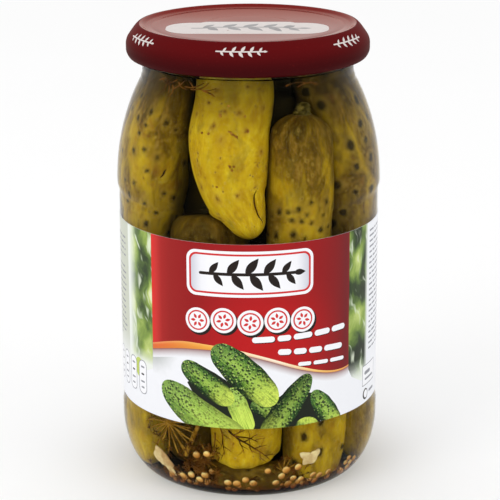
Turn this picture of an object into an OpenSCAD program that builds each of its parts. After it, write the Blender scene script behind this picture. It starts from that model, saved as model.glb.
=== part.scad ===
// Sealed glass jar of pickled cucumbers: pressed-and-blown glass jar with a
// recessed label panel, lug-type twist-off metal cap, wrap-round paper label
// and the brine that fills the jar to the neck.
// Units are millimetres, +Z is up, the origin is the centre of the base.

/* [Jar body] */
// Outside radius of the recessed panel that carries the label
panel_r = 46.5; // [44:0.1:48]
// How far the shoulder bead stands proud of the label panel
shoulder_proud = 0.65; // [0.3:0.05:1.2]
// How far the heel bead stands proud of the label panel
heel_proud = 0.35; // [0.2:0.05:1]
// Height at which the label panel starts
panel_z0 = 27.5; // [25:0.5:28]
// Height at which the label panel ends
panel_z1 = 104.5; // [100:0.5:106]
// Thickness of the glass wall
wall = 2.2; // [2:0.1:3]

/* [Jar heel and base] */
// Radius at which the rounded heel meets the table
heel_foot_r = 36.5; // [34:0.5:38]
// Height of the rounded heel
heel_h = 21; // [18:0.5:23]
// Inside radius of the ring that the jar stands on
stand_r = 30.5; // [27:0.5:32]
// Height of the push-up in the middle of the base
punt_h = 2.4; // [1:0.2:4]
// Thickness of the glass in the middle of the base
base_t = 2.7; // [2.5:0.1:5]
// How far the inside floor falls from the middle to its corner
floor_dip = 2; // [1:0.1:2.5]

/* [Shoulder and neck] */
// Radius of the long shoulder curve, seen from the side
shoulder_curve = 79; // [74:1:84]
// Height at which the shoulder curve is upright
shoulder_z = 108.3; // [107:0.1:109]
// Height at which the shoulder runs into the neck
neck_z = 145.2; // [144:0.1:146]
// Outside radius of the neck under the cap
neck_r = 37.4; // [37:0.1:37.8]
// Outside radius of the mouth rim that the cap seals on
finish_r = 39.7; // [39:0.1:40]
// Height of the mouth rim
rim_z = 162.4; // [162:0.1:163]
// How far the glass threads stand out of the rim's wall
thread_out = 1.3; // [0.8:0.1:1.6]
// Number of threads, and of lugs on the cap
lugs = 4; // [4:1:6]

/* [Cap] */
// Largest outside radius of the cap
cap_r = 43; // [42.6:0.1:43.5]
// Height of the top of the cap's raised edge
cap_z = 164.2; // [163.8:0.1:164.8]
// Height of the lower edge of the cap's curl
cap_low_z = 152.6; // [152:0.1:153.5]
// Thickness of the cap's sheet with its lacquer
cap_t = 0.5; // [0.3:0.05:0.7]
// Depth of the flat centre panel below the raised edge
cap_sink = 0.9; // [0.5:0.1:1.2]
// Radius of the safety button
button_r = 17; // [12:0.5:20]
// Height of the safety button over the centre panel
button_h = 0.35; // [0.1:0.05:0.5]

/* [Label] */
// Lower edge of the label
label_z0 = 29.2; // [28:0.1:32]
// Height of the label
label_h = 67; // [60:0.5:70]
// Thickness of the paper
paper = 0.15; // [0.1:0.01:0.2]
// Width of the glued overlap at the back, in degrees
overlap_deg = 9; // [5:1:15]

/* [Contents] */
// Height of the brine's surface
brine_z = 150; // [146:0.5:152]

/* [Hidden] */
$fn = 128;
eps = 0.01;

shoulder_r = panel_r + shoulder_proud;
heel_r = panel_r + heel_proud;

// Points along an arc, centre (cx, cz), from angle a0 to a1 in n steps.
function arc(cx, cz, r, a0, a1, n) =
    [for (i = [0:n]) let (a = a0 + (a1 - a0) * i / n) [cx + r * cos(a), cz + r * sin(a)]];

// The rounded heel: a little fuller than an ellipse, from the foot to the wall.
function heel_at(z, foot, top, h) = foot + (top - foot) * pow(1 - pow(1 - z / h, 2), 0.5556);
function heel(foot, top, h, z_low, n) =
    [for (i = [0:n]) let (z = h * pow(i / n, 1.8)) [heel_at(z, foot, top, h), z_low + z]];

// The long shoulder: its outside radius at a height.
function shoulder_at(z) = shoulder_r - shoulder_curve
    + sqrt(pow(shoulder_curve, 2) - pow(max(z - shoulder_z, 0), 2));
function shoulder(z0, z1, inset, n) =
    [for (i = [0:n]) let (z = z0 + (z1 - z0) * i / n) [shoulder_at(z) - inset, z]];

// A smooth rise from 0 to 1.
function ease(t) = t * t * (3 - 2 * t);
// A smooth step of the wall from (r0, z0) to (r1, z1).
function step_wall(r0, z0, r1, z1, n) =
    [for (i = [1:n - 1]) [r0 + (r1 - r0) * ease(i / n), z0 + (z1 - z0) * i / n]];

// The push-up under the base, from the middle out to the stand ring.
function punt(r, h, n) =
    [for (i = [0:n]) let (t = i / n) [r * t, h * (1 - ease(t))]];

neck_join = shoulder_at(neck_z);

outer = concat(
    punt(stand_r, punt_h, 8),
    heel(heel_foot_r, heel_r, heel_h, 0, 16),
    [[heel_r, panel_z0 - 3.2]],
    step_wall(heel_r, panel_z0 - 3.2, panel_r, panel_z0, 4),
    [[panel_r, panel_z0], [panel_r, panel_z1]],
    step_wall(panel_r, panel_z1, shoulder_r, shoulder_z, 5),
    shoulder(shoulder_z, neck_z, 0, 18),
    step_wall(neck_join, neck_z, neck_r, neck_z + 2.6, 4),
    [[neck_r, neck_z + 2.6], [neck_r, 152.4]],
    step_wall(neck_r, 152.4, finish_r, 154.6, 4),
    [[finish_r, 154.6]],
    arc(finish_r - 1.4, rim_z - 1.4, 1.4, 0, 90, 5)
);

in_floor = punt_h + base_t;
in_foot = heel_foot_r - 2.2;
in_low = in_floor - floor_dip;
in_r = panel_r - wall;
in_neck = neck_r - wall;
in_mouth = 36.1;

inner = concat(
    [[0, in_floor]],
    [for (i = [1:6]) let (t = i / 6) [in_foot * t, in_floor - floor_dip * ease(t)]],
    [for (p = heel(in_foot, in_r, heel_h - 2, in_low, 14)) if (p[1] > in_low + eps) p],
    [[in_r, shoulder_z - 4]],
    shoulder(shoulder_z + 2, neck_z, wall + 0.1, 16),
    step_wall(neck_join - wall - 0.1, neck_z, in_neck, neck_z + 2.6, 4),
    [[in_neck, neck_z + 2.6], [in_neck, 152.4]],
    step_wall(in_neck, 152.4, in_mouth, 154.6, 4),
    [[in_mouth, 154.6]],
    arc(in_mouth + 1.1, rim_z - 1.1, 1.1, 180, 90, 4)
);

function reversed(a) = [for (i = [len(a) - 1:-1:0]) a[i]];
function below(a, z) = [for (p = a) if (p[1] < z - eps) p];

// One thread of the finish: a short raised ramp with sloping flanks.
module thread(angle, from) {
    rotate([0, 0, from])
        rotate_extrude(angle = angle)
            polygon([[finish_r - 0.6, 155.9], [finish_r + thread_out, 156.5],
                [finish_r + thread_out, 157.2], [finish_r - 0.6, 158.4]]);
}

module jar() {
    color([0.80, 0.87, 0.84, 0.35])
        union() {
            rotate_extrude() polygon(concat(outer, reversed(inner)));
            for (i = [0:lugs - 1]) thread(52, i * 360 / lugs + 8);
        }
}

// Brine to its level, in contact with the glass all the way.
module brine() {
    surface_r = brine_z <= 152.4 ? in_neck : in_mouth;
    color([0.72, 0.62, 0.20])
        rotate_extrude()
            polygon(concat(below(inner, brine_z), [[surface_r, brine_z], [0, brine_z]]));
}

// The paper goes once round, and one end lies over the other at the back.
module label() {
    color([0.72, 0.12, 0.12])
        union() {
            translate([0, 0, label_z0])
                difference() {
                    cylinder(r = panel_r + paper, h = label_h);
                    translate([0, 0, -1]) cylinder(r = panel_r, h = label_h + 2);
                }
            rotate([0, 0, 90 - overlap_deg / 2])
                rotate_extrude(angle = overlap_deg)
                    translate([panel_r + paper / 2, label_z0])
                        square([paper * 1.5, label_h]);
        }
}

// Half section of the cap's outside, from the middle of the top to the curl.
cap_outside = concat(
    [[0, cap_z - cap_sink + button_h], [button_r - 2, cap_z - cap_sink + button_h]],
    [[button_r, cap_z - cap_sink], [cap_r - 6.6, cap_z - cap_sink]],
    [[cap_r - 6.1, cap_z - cap_sink + 0.15], [cap_r - 5.3, cap_z - 0.12], [cap_r - 4.8, cap_z]],
    [[cap_r - 4.3, cap_z - 0.08], [cap_r - 3.66, cap_z - 0.57], [cap_r - 2.88, cap_z - 1.43],
        [cap_r - 1.82, cap_z - 2.87], [cap_r - 0.95, cap_z - 4.1], [cap_r - 0.45, cap_z - 4.95],
        [cap_r - 0.12, cap_z - 5.9], [cap_r, cap_z - 6.8]],
    [[cap_r, cap_low_z + 2.9], [cap_r - 0.15, cap_low_z + 2.0], [cap_r - 0.55, cap_low_z + 1.1],
        [cap_r - 1.1, cap_low_z + 0.35], [cap_r - 1.7, cap_low_z]]
);

module cap() {
    gasket_z = rim_z;
    color([0.45, 0.05, 0.06])
        union() {
            rotate_extrude()
                polygon(concat(cap_outside, [
                    [cap_r - 2.1, cap_low_z + 0.25], [cap_r - 2.0, cap_low_z + 1.6], [cap_r - 1.4, cap_low_z + 2.2],
                    [cap_r - cap_t, cap_low_z + 2.9], [cap_r - cap_t, cap_z - 6.8],
                    [cap_r - 1.0, cap_z - 5.0], [cap_r - 2.1, cap_z - 3.5], [cap_r - 3.0, gasket_z],
                    [cap_r - 7.4, gasket_z], [cap_r - 7.6, cap_z - cap_sink - cap_t],
                    [button_r + 0.2, cap_z - cap_sink - cap_t],
                    [button_r - 1.8, cap_z - cap_sink + button_h - cap_t],
                    [0, cap_z - cap_sink + button_h - cap_t]
                ]));
            // Lugs bent in from the curl, one under each glass thread.
            for (i = [0:lugs - 1])
                rotate([0, 0, i * 360 / lugs + 22])
                    rotate_extrude(angle = 20)
                        polygon([[cap_r - 2.75, cap_low_z + 0.9], [cap_r - 1.3, cap_low_z + 0.5],
                            [cap_r - 1.0, cap_low_z + 2.2], [cap_r - 2.75, cap_low_z + 1.9]]);
        }
}

jar();
brine();
label();
cap();
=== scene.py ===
"""Looks for the pickle jar: glass, brine, whole pickles with dill, garlic and seeds, paper label and cap."""

import math

import bpy
import numpy as np
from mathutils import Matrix, Quaternion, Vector
from mathutils.geometry import delaunay_2d_cdt


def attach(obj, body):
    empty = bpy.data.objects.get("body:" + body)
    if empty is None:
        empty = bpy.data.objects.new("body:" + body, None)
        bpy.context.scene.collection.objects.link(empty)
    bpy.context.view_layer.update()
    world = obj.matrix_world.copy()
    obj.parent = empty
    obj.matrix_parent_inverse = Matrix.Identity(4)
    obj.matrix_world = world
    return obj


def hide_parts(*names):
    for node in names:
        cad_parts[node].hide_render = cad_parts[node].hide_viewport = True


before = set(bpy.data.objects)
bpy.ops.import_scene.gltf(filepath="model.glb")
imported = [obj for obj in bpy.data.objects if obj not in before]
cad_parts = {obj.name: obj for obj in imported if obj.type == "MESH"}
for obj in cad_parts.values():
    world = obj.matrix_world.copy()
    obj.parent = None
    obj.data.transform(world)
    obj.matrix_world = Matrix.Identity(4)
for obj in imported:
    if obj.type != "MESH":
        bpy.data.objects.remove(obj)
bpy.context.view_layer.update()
MM = 0.001
pi = math.pi

# ---------------------------------------------------------------- sizes, in millimetres, as in the CAD model
PANEL_R, SHOULDER_R, HEEL_R = 46.5, 47.15, 46.85
PANEL_Z0, PANEL_Z1 = 27.5, 104.5
WALL, HEEL_FOOT, HEEL_H, STAND_R, PUNT_H, BASE_T, FLOOR_DIP = 2.2, 36.5, 21.0, 30.5, 2.4, 2.7, 2.0
CURVE, SHOULDER_Z, NECK_Z, NECK_R, FINISH_R, RIM_Z = 79.0, 108.3, 145.2, 37.4, 39.7, 162.4
CAP_R, CAP_Z, CAP_LOW, CAP_T, CAP_SINK, BUTTON_R, BUTTON_H = 43.0, 164.2, 152.6, 0.5, 0.9, 17.0, 0.35
LABEL_Z0, LABEL_H, PAPER, OVERLAP = 29.2, 67.0, 0.15, 9.0
BRINE_Z = 150.0
IN_FLOOR, IN_FOOT, IN_R, IN_NECK, IN_MOUTH = PUNT_H + BASE_T, HEEL_FOOT - 2.2, PANEL_R - WALL, NECK_R - WALL, 36.1
LOW = IN_FLOOR - FLOOR_DIP


# ---------------------------------------------------------------- small helpers
def ease(t):
    return t * t * (3 - 2 * t)


def smooth(a, b, x):
    t = np.clip((np.asarray(x, float) - a) / (b - a), 0, 1)
    return t * t * (3 - 2 * t)


def arc(cx, cz, r, a0, a1, n):
    return [(cx + r * math.cos(math.radians(a0 + (a1 - a0) * i / n)), cz + r * math.sin(math.radians(a0 + (a1 - a0) * i / n))) for i in range(n + 1)]


def heel_at(z, foot, top, h):
    return foot + (top - foot) * (1 - (1 - z / h) ** 2) ** 0.5556


def heel(foot, top, h, z_low, n):
    return [(heel_at(h * (i / n) ** 1.8, foot, top, h), z_low + h * (i / n) ** 1.8) for i in range(n + 1)]


def shoulder_at(z):
    return SHOULDER_R - CURVE + math.sqrt(CURVE**2 - max(z - SHOULDER_Z, 0) ** 2)


def shoulder(z0, z1, inset, n):
    return [(shoulder_at(z0 + (z1 - z0) * i / n) - inset, z0 + (z1 - z0) * i / n) for i in range(n + 1)]


def step_wall(r0, z0, r1, z1, n):
    return [(r0 + (r1 - r0) * ease(i / n), z0 + (z1 - z0) * i / n) for i in range(1, n)]


NECK_JOIN = shoulder_at(NECK_Z)
OUTER = (
    [(STAND_R * i / 14, PUNT_H * (1 - ease(i / 14))) for i in range(15)]
    + [(32.0, 0.0), (33.5, 0.0), (35.0, 0.0)]
    + heel(HEEL_FOOT, HEEL_R, HEEL_H, 0, 26)
    + [(HEEL_R, PANEL_Z0 - 3.2)]
    + step_wall(HEEL_R, PANEL_Z0 - 3.2, PANEL_R, PANEL_Z0, 8)
    + [(PANEL_R, PANEL_Z0), (PANEL_R, 50.0), (PANEL_R, 75.0), (PANEL_R, PANEL_Z1)]
    + step_wall(PANEL_R, PANEL_Z1, SHOULDER_R, SHOULDER_Z, 10)
    + shoulder(SHOULDER_Z, NECK_Z, 0, 34)
    + step_wall(NECK_JOIN, NECK_Z, NECK_R, NECK_Z + 2.6, 8)
    + [(NECK_R, NECK_Z + 2.6), (NECK_R, 150.2), (NECK_R, 152.4)]
    + step_wall(NECK_R, 152.4, FINISH_R, 154.6, 6)
    + [(FINISH_R, 154.6)]
    + [(FINISH_R, 154.9 + 0.35 * i) for i in range(15)]
    + arc(FINISH_R - 1.4, RIM_Z - 1.4, 1.4, 0, 90, 7)
)
INNER = (
    [(0, IN_FLOOR)]
    + [(IN_FOOT * i / 12, IN_FLOOR - FLOOR_DIP * ease(i / 12)) for i in range(1, 13)]
    + heel(IN_FOOT, IN_R, HEEL_H - 2, LOW, 24)[1:]
    + [(IN_R, 50.0), (IN_R, 75.0), (IN_R, SHOULDER_Z - 4)]
    + shoulder(SHOULDER_Z + 2, NECK_Z, WALL + 0.1, 32)
    + step_wall(NECK_JOIN - WALL - 0.1, NECK_Z, IN_NECK, NECK_Z + 2.6, 8)
    + [(IN_NECK, NECK_Z + 2.6), (IN_NECK, 150.0), (IN_NECK, 152.4)]
    + step_wall(IN_NECK, 152.4, IN_MOUTH, 154.6, 6)
    + [(IN_MOUTH, 154.6)]
    + arc(IN_MOUTH + 1.1, RIM_Z - 1.1, 1.1, 180, 90, 5)
)
_wall = np.array([p for p in INNER if p[0] >= IN_FOOT - 0.01])


def inner_r(z):
    """The jar's inside radius at a height."""
    return np.interp(z, _wall[:, 1], _wall[:, 0])


def floor_z(r):
    """The height of the jar's inside floor at a radius."""
    return IN_FLOOR - FLOOR_DIP * ease(np.clip(np.asarray(r, float) / IN_FOOT, 0, 1))


def make(name, verts, faces, mats, index=None, angle=None):
    """A mesh object from points in millimetres."""
    me = bpy.data.meshes.new(name)
    me.from_pydata((np.asarray(verts, float) * MM).tolist(), [], faces)
    for m in mats:
        me.materials.append(m)
    if index is not None:
        me.polygons.foreach_set("material_index", np.asarray(index, np.int32))
    me.polygons.foreach_set("use_smooth", np.ones(len(me.polygons), bool))
    if angle is not None:
        me.set_sharp_from_angle(angle=math.radians(angle))
    me.validate()
    me.update()
    ob = bpy.data.objects.new(name, me)
    bpy.context.scene.collection.objects.link(ob)
    return ob


def attribute(ob, name, values, domain="POINT"):
    a = ob.data.attributes.new(name, "FLOAT", domain)
    a.data.foreach_set("value", np.asarray(values, np.float32))


def uv_map(ob, name, per_corner):
    layer = ob.data.uv_layers.new(name=name)
    layer.data.foreach_set("uv", np.asarray(per_corner, np.float32).ravel())


def lathe(profile, n, shape=None):
    """Points and faces of a profile turned about Z. shape(r, z, phi) may move a ring's points."""
    verts, rings = [], []
    phi = np.arange(n) * 2 * pi / n
    for r, z in profile:
        if r < 1e-6:
            rings.append([len(verts)])
            verts.append((0.0, 0.0, z))
        else:
            rr, zz = np.full(n, float(r)), np.full(n, float(z))
            if shape is not None:
                rr, zz = shape(rr, zz, phi)
            rings.append(list(range(len(verts), len(verts) + n)))
            verts += list(zip(rr * np.sin(phi), -rr * np.cos(phi), zz))
    faces, row = [], []
    closed = len(rings[0]) > 1 and len(rings[-1]) > 1
    pairs = list(zip(rings, rings[1:])) + ([(rings[-1], rings[0])] if closed else [])
    for k, (a, b) in enumerate(pairs):
        for i in range(n):
            j = (i + 1) % n
            if len(a) == 1:
                faces.append((a[0], b[j], b[i]))
            elif len(b) == 1:
                faces.append((a[i], a[j], b[0]))
            else:
                faces.append((a[i], a[j], b[j], b[i]))
            row.append(k)
    verts = np.array(verts)
    tri = verts[np.array([(q[0], q[k], q[k + 1]) for q in faces for k in range(1, len(q) - 1)])]
    if float((tri[:, 0] * np.cross(tri[:, 1], tri[:, 2])).sum()) < 0:
        faces = [tuple(reversed(q)) for q in faces]
    return verts, faces, np.array(row)


# ---------------------------------------------------------------- node building
class Nodes:
    """A short way of writing a material's nodes."""

    def __init__(self, name):
        self.mat = bpy.data.materials.new(name)
        self.mat.use_nodes = True
        self.nt = self.mat.node_tree
        self.nt.nodes.clear()
        self.out = self.nt.nodes.new("ShaderNodeOutputMaterial")

    def put(self, socket, value):
        if value is None:
            return
        if isinstance(value, bpy.types.NodeSocket):
            self.nt.links.new(value, socket)
        elif isinstance(value, (tuple, list)) and len(value) == 3 and socket.type == "RGBA":
            socket.default_value = (*value, 1.0)
        else:
            socket.default_value = value

    def node(self, kind, ins=(), **props):
        n = self.nt.nodes.new(kind)
        for k, v in props.items():
            setattr(n, k, v)
        for k, v in dict(ins).items():
            self.put(n.inputs[k], v)
        return n

    def m(self, op, a, b=None, c=None, clamp=False):
        n = self.nt.nodes.new("ShaderNodeMath")
        n.operation = op
        n.use_clamp = clamp
        for s, v in zip(n.inputs, (a, b, c)):
            self.put(s, v)
        return n.outputs[0]

    def vm(self, op, a, b=None):
        n = self.nt.nodes.new("ShaderNodeVectorMath")
        n.operation = op
        self.put(n.inputs[0], a)
        self.put(n.inputs[1], b)
        return n.outputs["Value"] if op in ("LENGTH", "DISTANCE", "DOT_PRODUCT") else n.outputs[0]

    def mix(self, fac, a, b, blend="MIX"):
        n = self.nt.nodes.new("ShaderNodeMix")
        n.data_type = "RGBA"
        n.blend_type = blend
        n.clamp_factor = True
        self.put(n.inputs["Factor"], fac)
        self.put(n.inputs[6], a)
        self.put(n.inputs[7], b)
        return n.outputs[2]

    def step(self, x, lo, hi, a=0.0, b=1.0):
        n = self.nt.nodes.new("ShaderNodeMapRange")
        n.interpolation_type = "SMOOTHSTEP"
        n.clamp = True
        for s, v in zip(n.inputs, (x, lo, hi, a, b)):
            self.put(s, v)
        return n.outputs[0]

    def lin(self, x, lo, hi, a=0.0, b=1.0):
        n = self.nt.nodes.new("ShaderNodeMapRange")
        n.clamp = True
        for s, v in zip(n.inputs, (x, lo, hi, a, b)):
            self.put(s, v)
        return n.outputs[0]

    def attr(self, name, out="Fac"):
        return self.node("ShaderNodeAttribute", attribute_name=name).outputs[out]

    def uv(self, name):
        return self.node("ShaderNodeUVMap", uv_map=name).outputs[0]

    def place(self):
        """The point in the part's own frame, in metres."""
        return self.node("ShaderNodeTexCoord").outputs["Object"]

    def xyz(self, v):
        n = self.nt.nodes.new("ShaderNodeSeparateXYZ")
        self.put(n.inputs[0], v)
        return n.outputs[0], n.outputs[1], n.outputs[2]

    def vec(self, x, y, z=0.0):
        n = self.nt.nodes.new("ShaderNodeCombineXYZ")
        for s, v in zip(n.inputs, (x, y, z)):
            self.put(s, v)
        return n.outputs[0]

    def scaled(self, v, sx, sy, sz=1.0, add=(0, 0, 0)):
        n = self.nt.nodes.new("ShaderNodeMapping")
        self.put(n.inputs["Vector"], v)
        n.inputs["Scale"].default_value = (sx, sy, sz)
        n.inputs["Location"].default_value = add
        return n.outputs[0]

    def noise(self, v, scale, detail=4.0, rough=0.55, distort=0.0, out="Fac"):
        n = self.nt.nodes.new("ShaderNodeTexNoise")
        self.put(n.inputs["Vector"], v)
        n.inputs["Scale"].default_value = scale
        n.inputs["Detail"].default_value = detail
        n.inputs["Roughness"].default_value = rough
        n.inputs["Distortion"].default_value = distort
        return n.outputs[out]

    def cells(self, v, scale, random=1.0, out="Distance", feature="F1"):
        n = self.nt.nodes.new("ShaderNodeTexVoronoi")
        n.feature = feature
        self.put(n.inputs["Vector"], v)
        n.inputs["Scale"].default_value = scale
        n.inputs["Randomness"].default_value = random
        return n.outputs[out]

    def ramp(self, fac, stops, mode="LINEAR"):
        n = self.nt.nodes.new("ShaderNodeValToRGB")
        n.color_ramp.interpolation = mode
        e = n.color_ramp.elements
        while len(e) < len(stops):
            e.new(0.5)
        for el, (p, c) in zip(e, stops):
            el.position = p
            el.color = (*c, 1.0)
        self.put(n.inputs[0], fac)
        return n.outputs[0]

    def bump(self, height, strength, distance_mm, normal=None):
        n = self.nt.nodes.new("ShaderNodeBump")
        n.inputs["Strength"].default_value = strength
        n.inputs["Distance"].default_value = distance_mm * MM
        self.put(n.inputs["Height"], height)
        self.put(n.inputs["Normal"], normal)
        return n.outputs[0]

    def principled(self, **ins):
        n = self.nt.nodes.new("ShaderNodeBsdfPrincipled")
        for k, v in ins.items():
            self.put(n.inputs[k.replace("_", " ")], v)
        return n

    def finish(self, shader):
        self.put(self.out.inputs["Surface"], shader)
        return self.mat


def srgb(r, g, b):
    """An sRGB colour of 0 to 255 as linear light."""
    return tuple((c / 255 / 12.92) if c / 255 <= 0.04045 else ((c / 255 + 0.055) / 1.055) ** 2.4 for c in (r, g, b))


# ---------------------------------------------------------------- materials
def lamps_pass(b, shader, tint):
    """Lamp light and light between the contents goes straight through the clear shells."""
    path = b.node("ShaderNodeLightPath")
    fac = b.m("MAXIMUM", path.outputs["Is Shadow Ray"], path.outputs["Is Diffuse Ray"])
    clear = b.node("ShaderNodeBsdfTransparent", {"Color": tint})
    return b.node("ShaderNodeMixShader", {0: fac, 1: shader, 2: clear.outputs[0]}).outputs[0]


def mat_glass(name, low, high, gloss, power):
    """Clear glass: bends light, with a shine that grows towards a low angle."""
    b = Nodes(name)
    p = b.place()
    waves = b.noise(b.scaled(p, 1, 1, 0.5), 45.0, 2.0, 0.45)
    fine = b.noise(p, 240.0, 2.0, 0.5)
    h = b.m("ADD", waves, b.m("MULTIPLY", fine, 0.05))
    nrm = b.bump(h, 0.5, 0.10)
    tint = b.mix(b.noise(p, 20.0, 1.0), srgb(250, 252, 249), srgb(247, 251, 248))
    _, _, up = b.xyz(p)
    tint = b.mix(b.step(up, 0.0075, 0.0015), tint, srgb(206, 164, 104))  # painted tint, not the glass's own colour: the foot is browned to stand in for the contents seen through it
    bend = b.node("ShaderNodeBsdfRefraction", {"Color": tint, "Roughness": 0.0, "IOR": 1.5, "Normal": nrm})
    shine = b.node("ShaderNodeBsdfAnisotropic", {"Color": gloss, "Roughness": 0.03, "Normal": nrm})
    fr = b.node("ShaderNodeFresnel", {"IOR": 1.5, "Normal": nrm})
    fac = b.m("POWER", b.lin(fr.outputs[0], 0.04, 1.0, 0.0, 1.0), power)
    fac = b.lin(fac, 0.0, 1.0, low, high)
    glass = b.node("ShaderNodeMixShader", {0: fac, 1: bend.outputs[0], 2: shine.outputs[0]})
    return b.finish(lamps_pass(b, glass.outputs[0], srgb(250, 252, 250)))


def mat_brine():
    b = Nodes("pickle_brine")
    p = b.place()
    cloud = b.noise(p, 30.0, 3.0, 0.6)
    tint = b.mix(cloud, srgb(255, 245, 206), srgb(255, 242, 196))
    nrm = b.bump(b.noise(p, 60.0, 2.0), 0.3, 0.08)
    bend = b.node("ShaderNodeBsdfRefraction", {"Color": tint, "Roughness": 0.0, "IOR": 1.34, "Normal": nrm})
    return b.finish(lamps_pass(b, bend.outputs[0], srgb(255, 250, 226)))


def mat_pickle():
    b = Nodes("pickle_skin")
    uv, p = b.uv("skin"), b.place()
    brown, bright, deep, spot = b.attr("brown"), b.attr("bright"), b.attr("deep"), b.attr("spot")
    big = b.noise(b.scaled(uv, 0.9, 0.45), 1.5, 3.0, 0.5, 0.5)
    med = b.noise(b.scaled(uv, 1.2, 0.65), 2.2, 3.0, 0.55, 0.4)
    small = b.noise(b.scaled(uv, 1.2, 0.95), 7.0, 4.0, 0.6)
    grain = b.noise(p, 1300.0, 3.0, 0.6)
    # how brown the skin is here
    bm = b.m("ADD", brown, b.m("MULTIPLY", b.m("SUBTRACT", big, 0.5), 1.7))
    bm = b.m("ADD", bm, b.m("MULTIPLY", b.m("SUBTRACT", med, 0.5), 1.3))
    bm = b.step(bm, 0.10, 0.75)
    tone = b.m("ADD", b.m("MULTIPLY", med, 0.72), b.m("MULTIPLY", small, 0.28))
    yellow = b.ramp(b.lin(tone, 0.34, 0.66), [(0.0, srgb(176, 140, 24)), (0.35, srgb(194, 162, 30)), (0.65, srgb(208, 180, 36)), (1.0, srgb(222, 198, 60))])
    olive = b.ramp(b.lin(tone, 0.34, 0.66), [(0.0, srgb(58, 42, 14)), (0.4, srgb(98, 74, 20)), (0.7, srgb(126, 98, 32)), (1.0, srgb(156, 126, 60))])
    col = b.mix(bm, yellow, olive)
    rust = b.noise(p, 150.0, 4.0, 0.65, 0.8)
    col = b.mix(b.m("MULTIPLY", b.step(rust, 0.57, 0.70), 0.45), col, srgb(138, 84, 34))
    fleck = b.noise(b.scaled(p, 1, 1, 1, (0.5, 0.2, 0.7)), 420.0, 3.0, 0.6, 0.5)
    col = b.mix(b.m("MULTIPLY", b.step(fleck, 0.62, 0.70), b.m("MULTIPLY", b.step(rust, 0.44, 0.58), 0.65)), col, srgb(104, 58, 34))
    bloom = b.noise(b.scaled(p, 1, 1, 0.7, (0.3, 0.1, 0.2)), 110.0, 4.0, 0.6, 0.6)
    col = b.mix(b.m("MULTIPLY", b.step(bloom, 0.57, 0.70), 0.40), col, srgb(126, 112, 62))
    # fine pale threads and small brown pits
    vein = b.m("ABSOLUTE", b.m("SUBTRACT", b.noise(b.scaled(uv, 1.5, 0.8), 4.2, 3.0, 0.55, 0.8), 0.5))
    col = b.mix(b.m("MULTIPLY", b.step(vein, 0.030, 0.0), b.m("MULTIPLY", b.step(small, 0.42, 0.6), 0.22)), col, srgb(208, 182, 110))
    pit = b.cells(b.scaled(uv, 1.0, 0.85), 4.0)
    some = b.step(big, 0.42, 0.56)
    col = b.mix(b.m("MULTIPLY", b.step(pit, 0.30, 0.16), b.m("MULTIPLY", some, 0.50)), col, srgb(196, 172, 96))
    col = b.mix(b.m("MULTIPLY", b.step(pit, 0.16, 0.07), b.m("MULTIPLY", some, 0.90)), col, srgb(84, 46, 28))
    # warts: a dark middle in a soft olive ring
    edge = b.m("ADD", spot, b.m("MULTIPLY", b.m("SUBTRACT", small, 0.5), 1.5))
    col = b.mix(b.m("MULTIPLY", b.step(edge, 2.3, 0.9), 0.25), col, srgb(190, 162, 84))
    dull = b.step(brown, 0.0, 0.3)
    col = b.mix(b.m("MULTIPLY", b.step(edge, 1.2, -0.1), 0.60), col, b.mix(dull, srgb(146, 104, 46), srgb(92, 76, 30)))
    col = b.mix(b.m("MULTIPLY", b.step(edge, 0.35, -0.45), 0.92), col, b.mix(dull, srgb(92, 52, 30), srgb(40, 30, 14)))
    col = b.mix(b.m("MULTIPLY", b.step(grain, 0.55, 0.75), 0.18), col, srgb(226, 204, 120))
    col = b.mix(1.0, col, b.mix(bright, (0.18, 0.16, 0.14), (1.0, 1.0, 1.0)), "MULTIPLY")
    # painted shade: darker the further a skin lies from the glass, and higher up under the cap
    col = b.mix(1.0, col, b.mix(deep, (1, 1, 1), (0.07, 0.055, 0.03)), "MULTIPLY")
    h = b.m("ADD", b.m("MULTIPLY", med, 0.8), b.m("MULTIPLY", small, 0.22))
    nrm = b.bump(h, 0.6, 0.4)
    rough = b.lin(small, 0.3, 0.7, 0.40, 0.6)
    s = b.principled(Base_Color=col, Roughness=rough, Specular_IOR_Level=0.16, Normal=nrm)
    return b.finish(s.outputs[0])


def mat_plant(name, dark, light, scale=260.0):
    b = Nodes(name)
    p = b.place()
    n = b.noise(p, scale, 4.0, 0.6)
    col = b.mix(b.step(n, 0.35, 0.68), dark, light)
    # painted shade: darker the further the part lies from the glass
    deep = b.attr("deep")
    col = b.mix(1.0, col, b.mix(deep, (1, 1, 1), (0.2, 0.16, 0.1)), "MULTIPLY")
    nrm = b.bump(b.noise(p, scale * 3, 3.0), 0.5, 0.12)
    s = b.principled(Base_Color=col, Roughness=0.55, Specular_IOR_Level=0.12, Normal=nrm)
    return b.finish(s.outputs[0])


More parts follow.
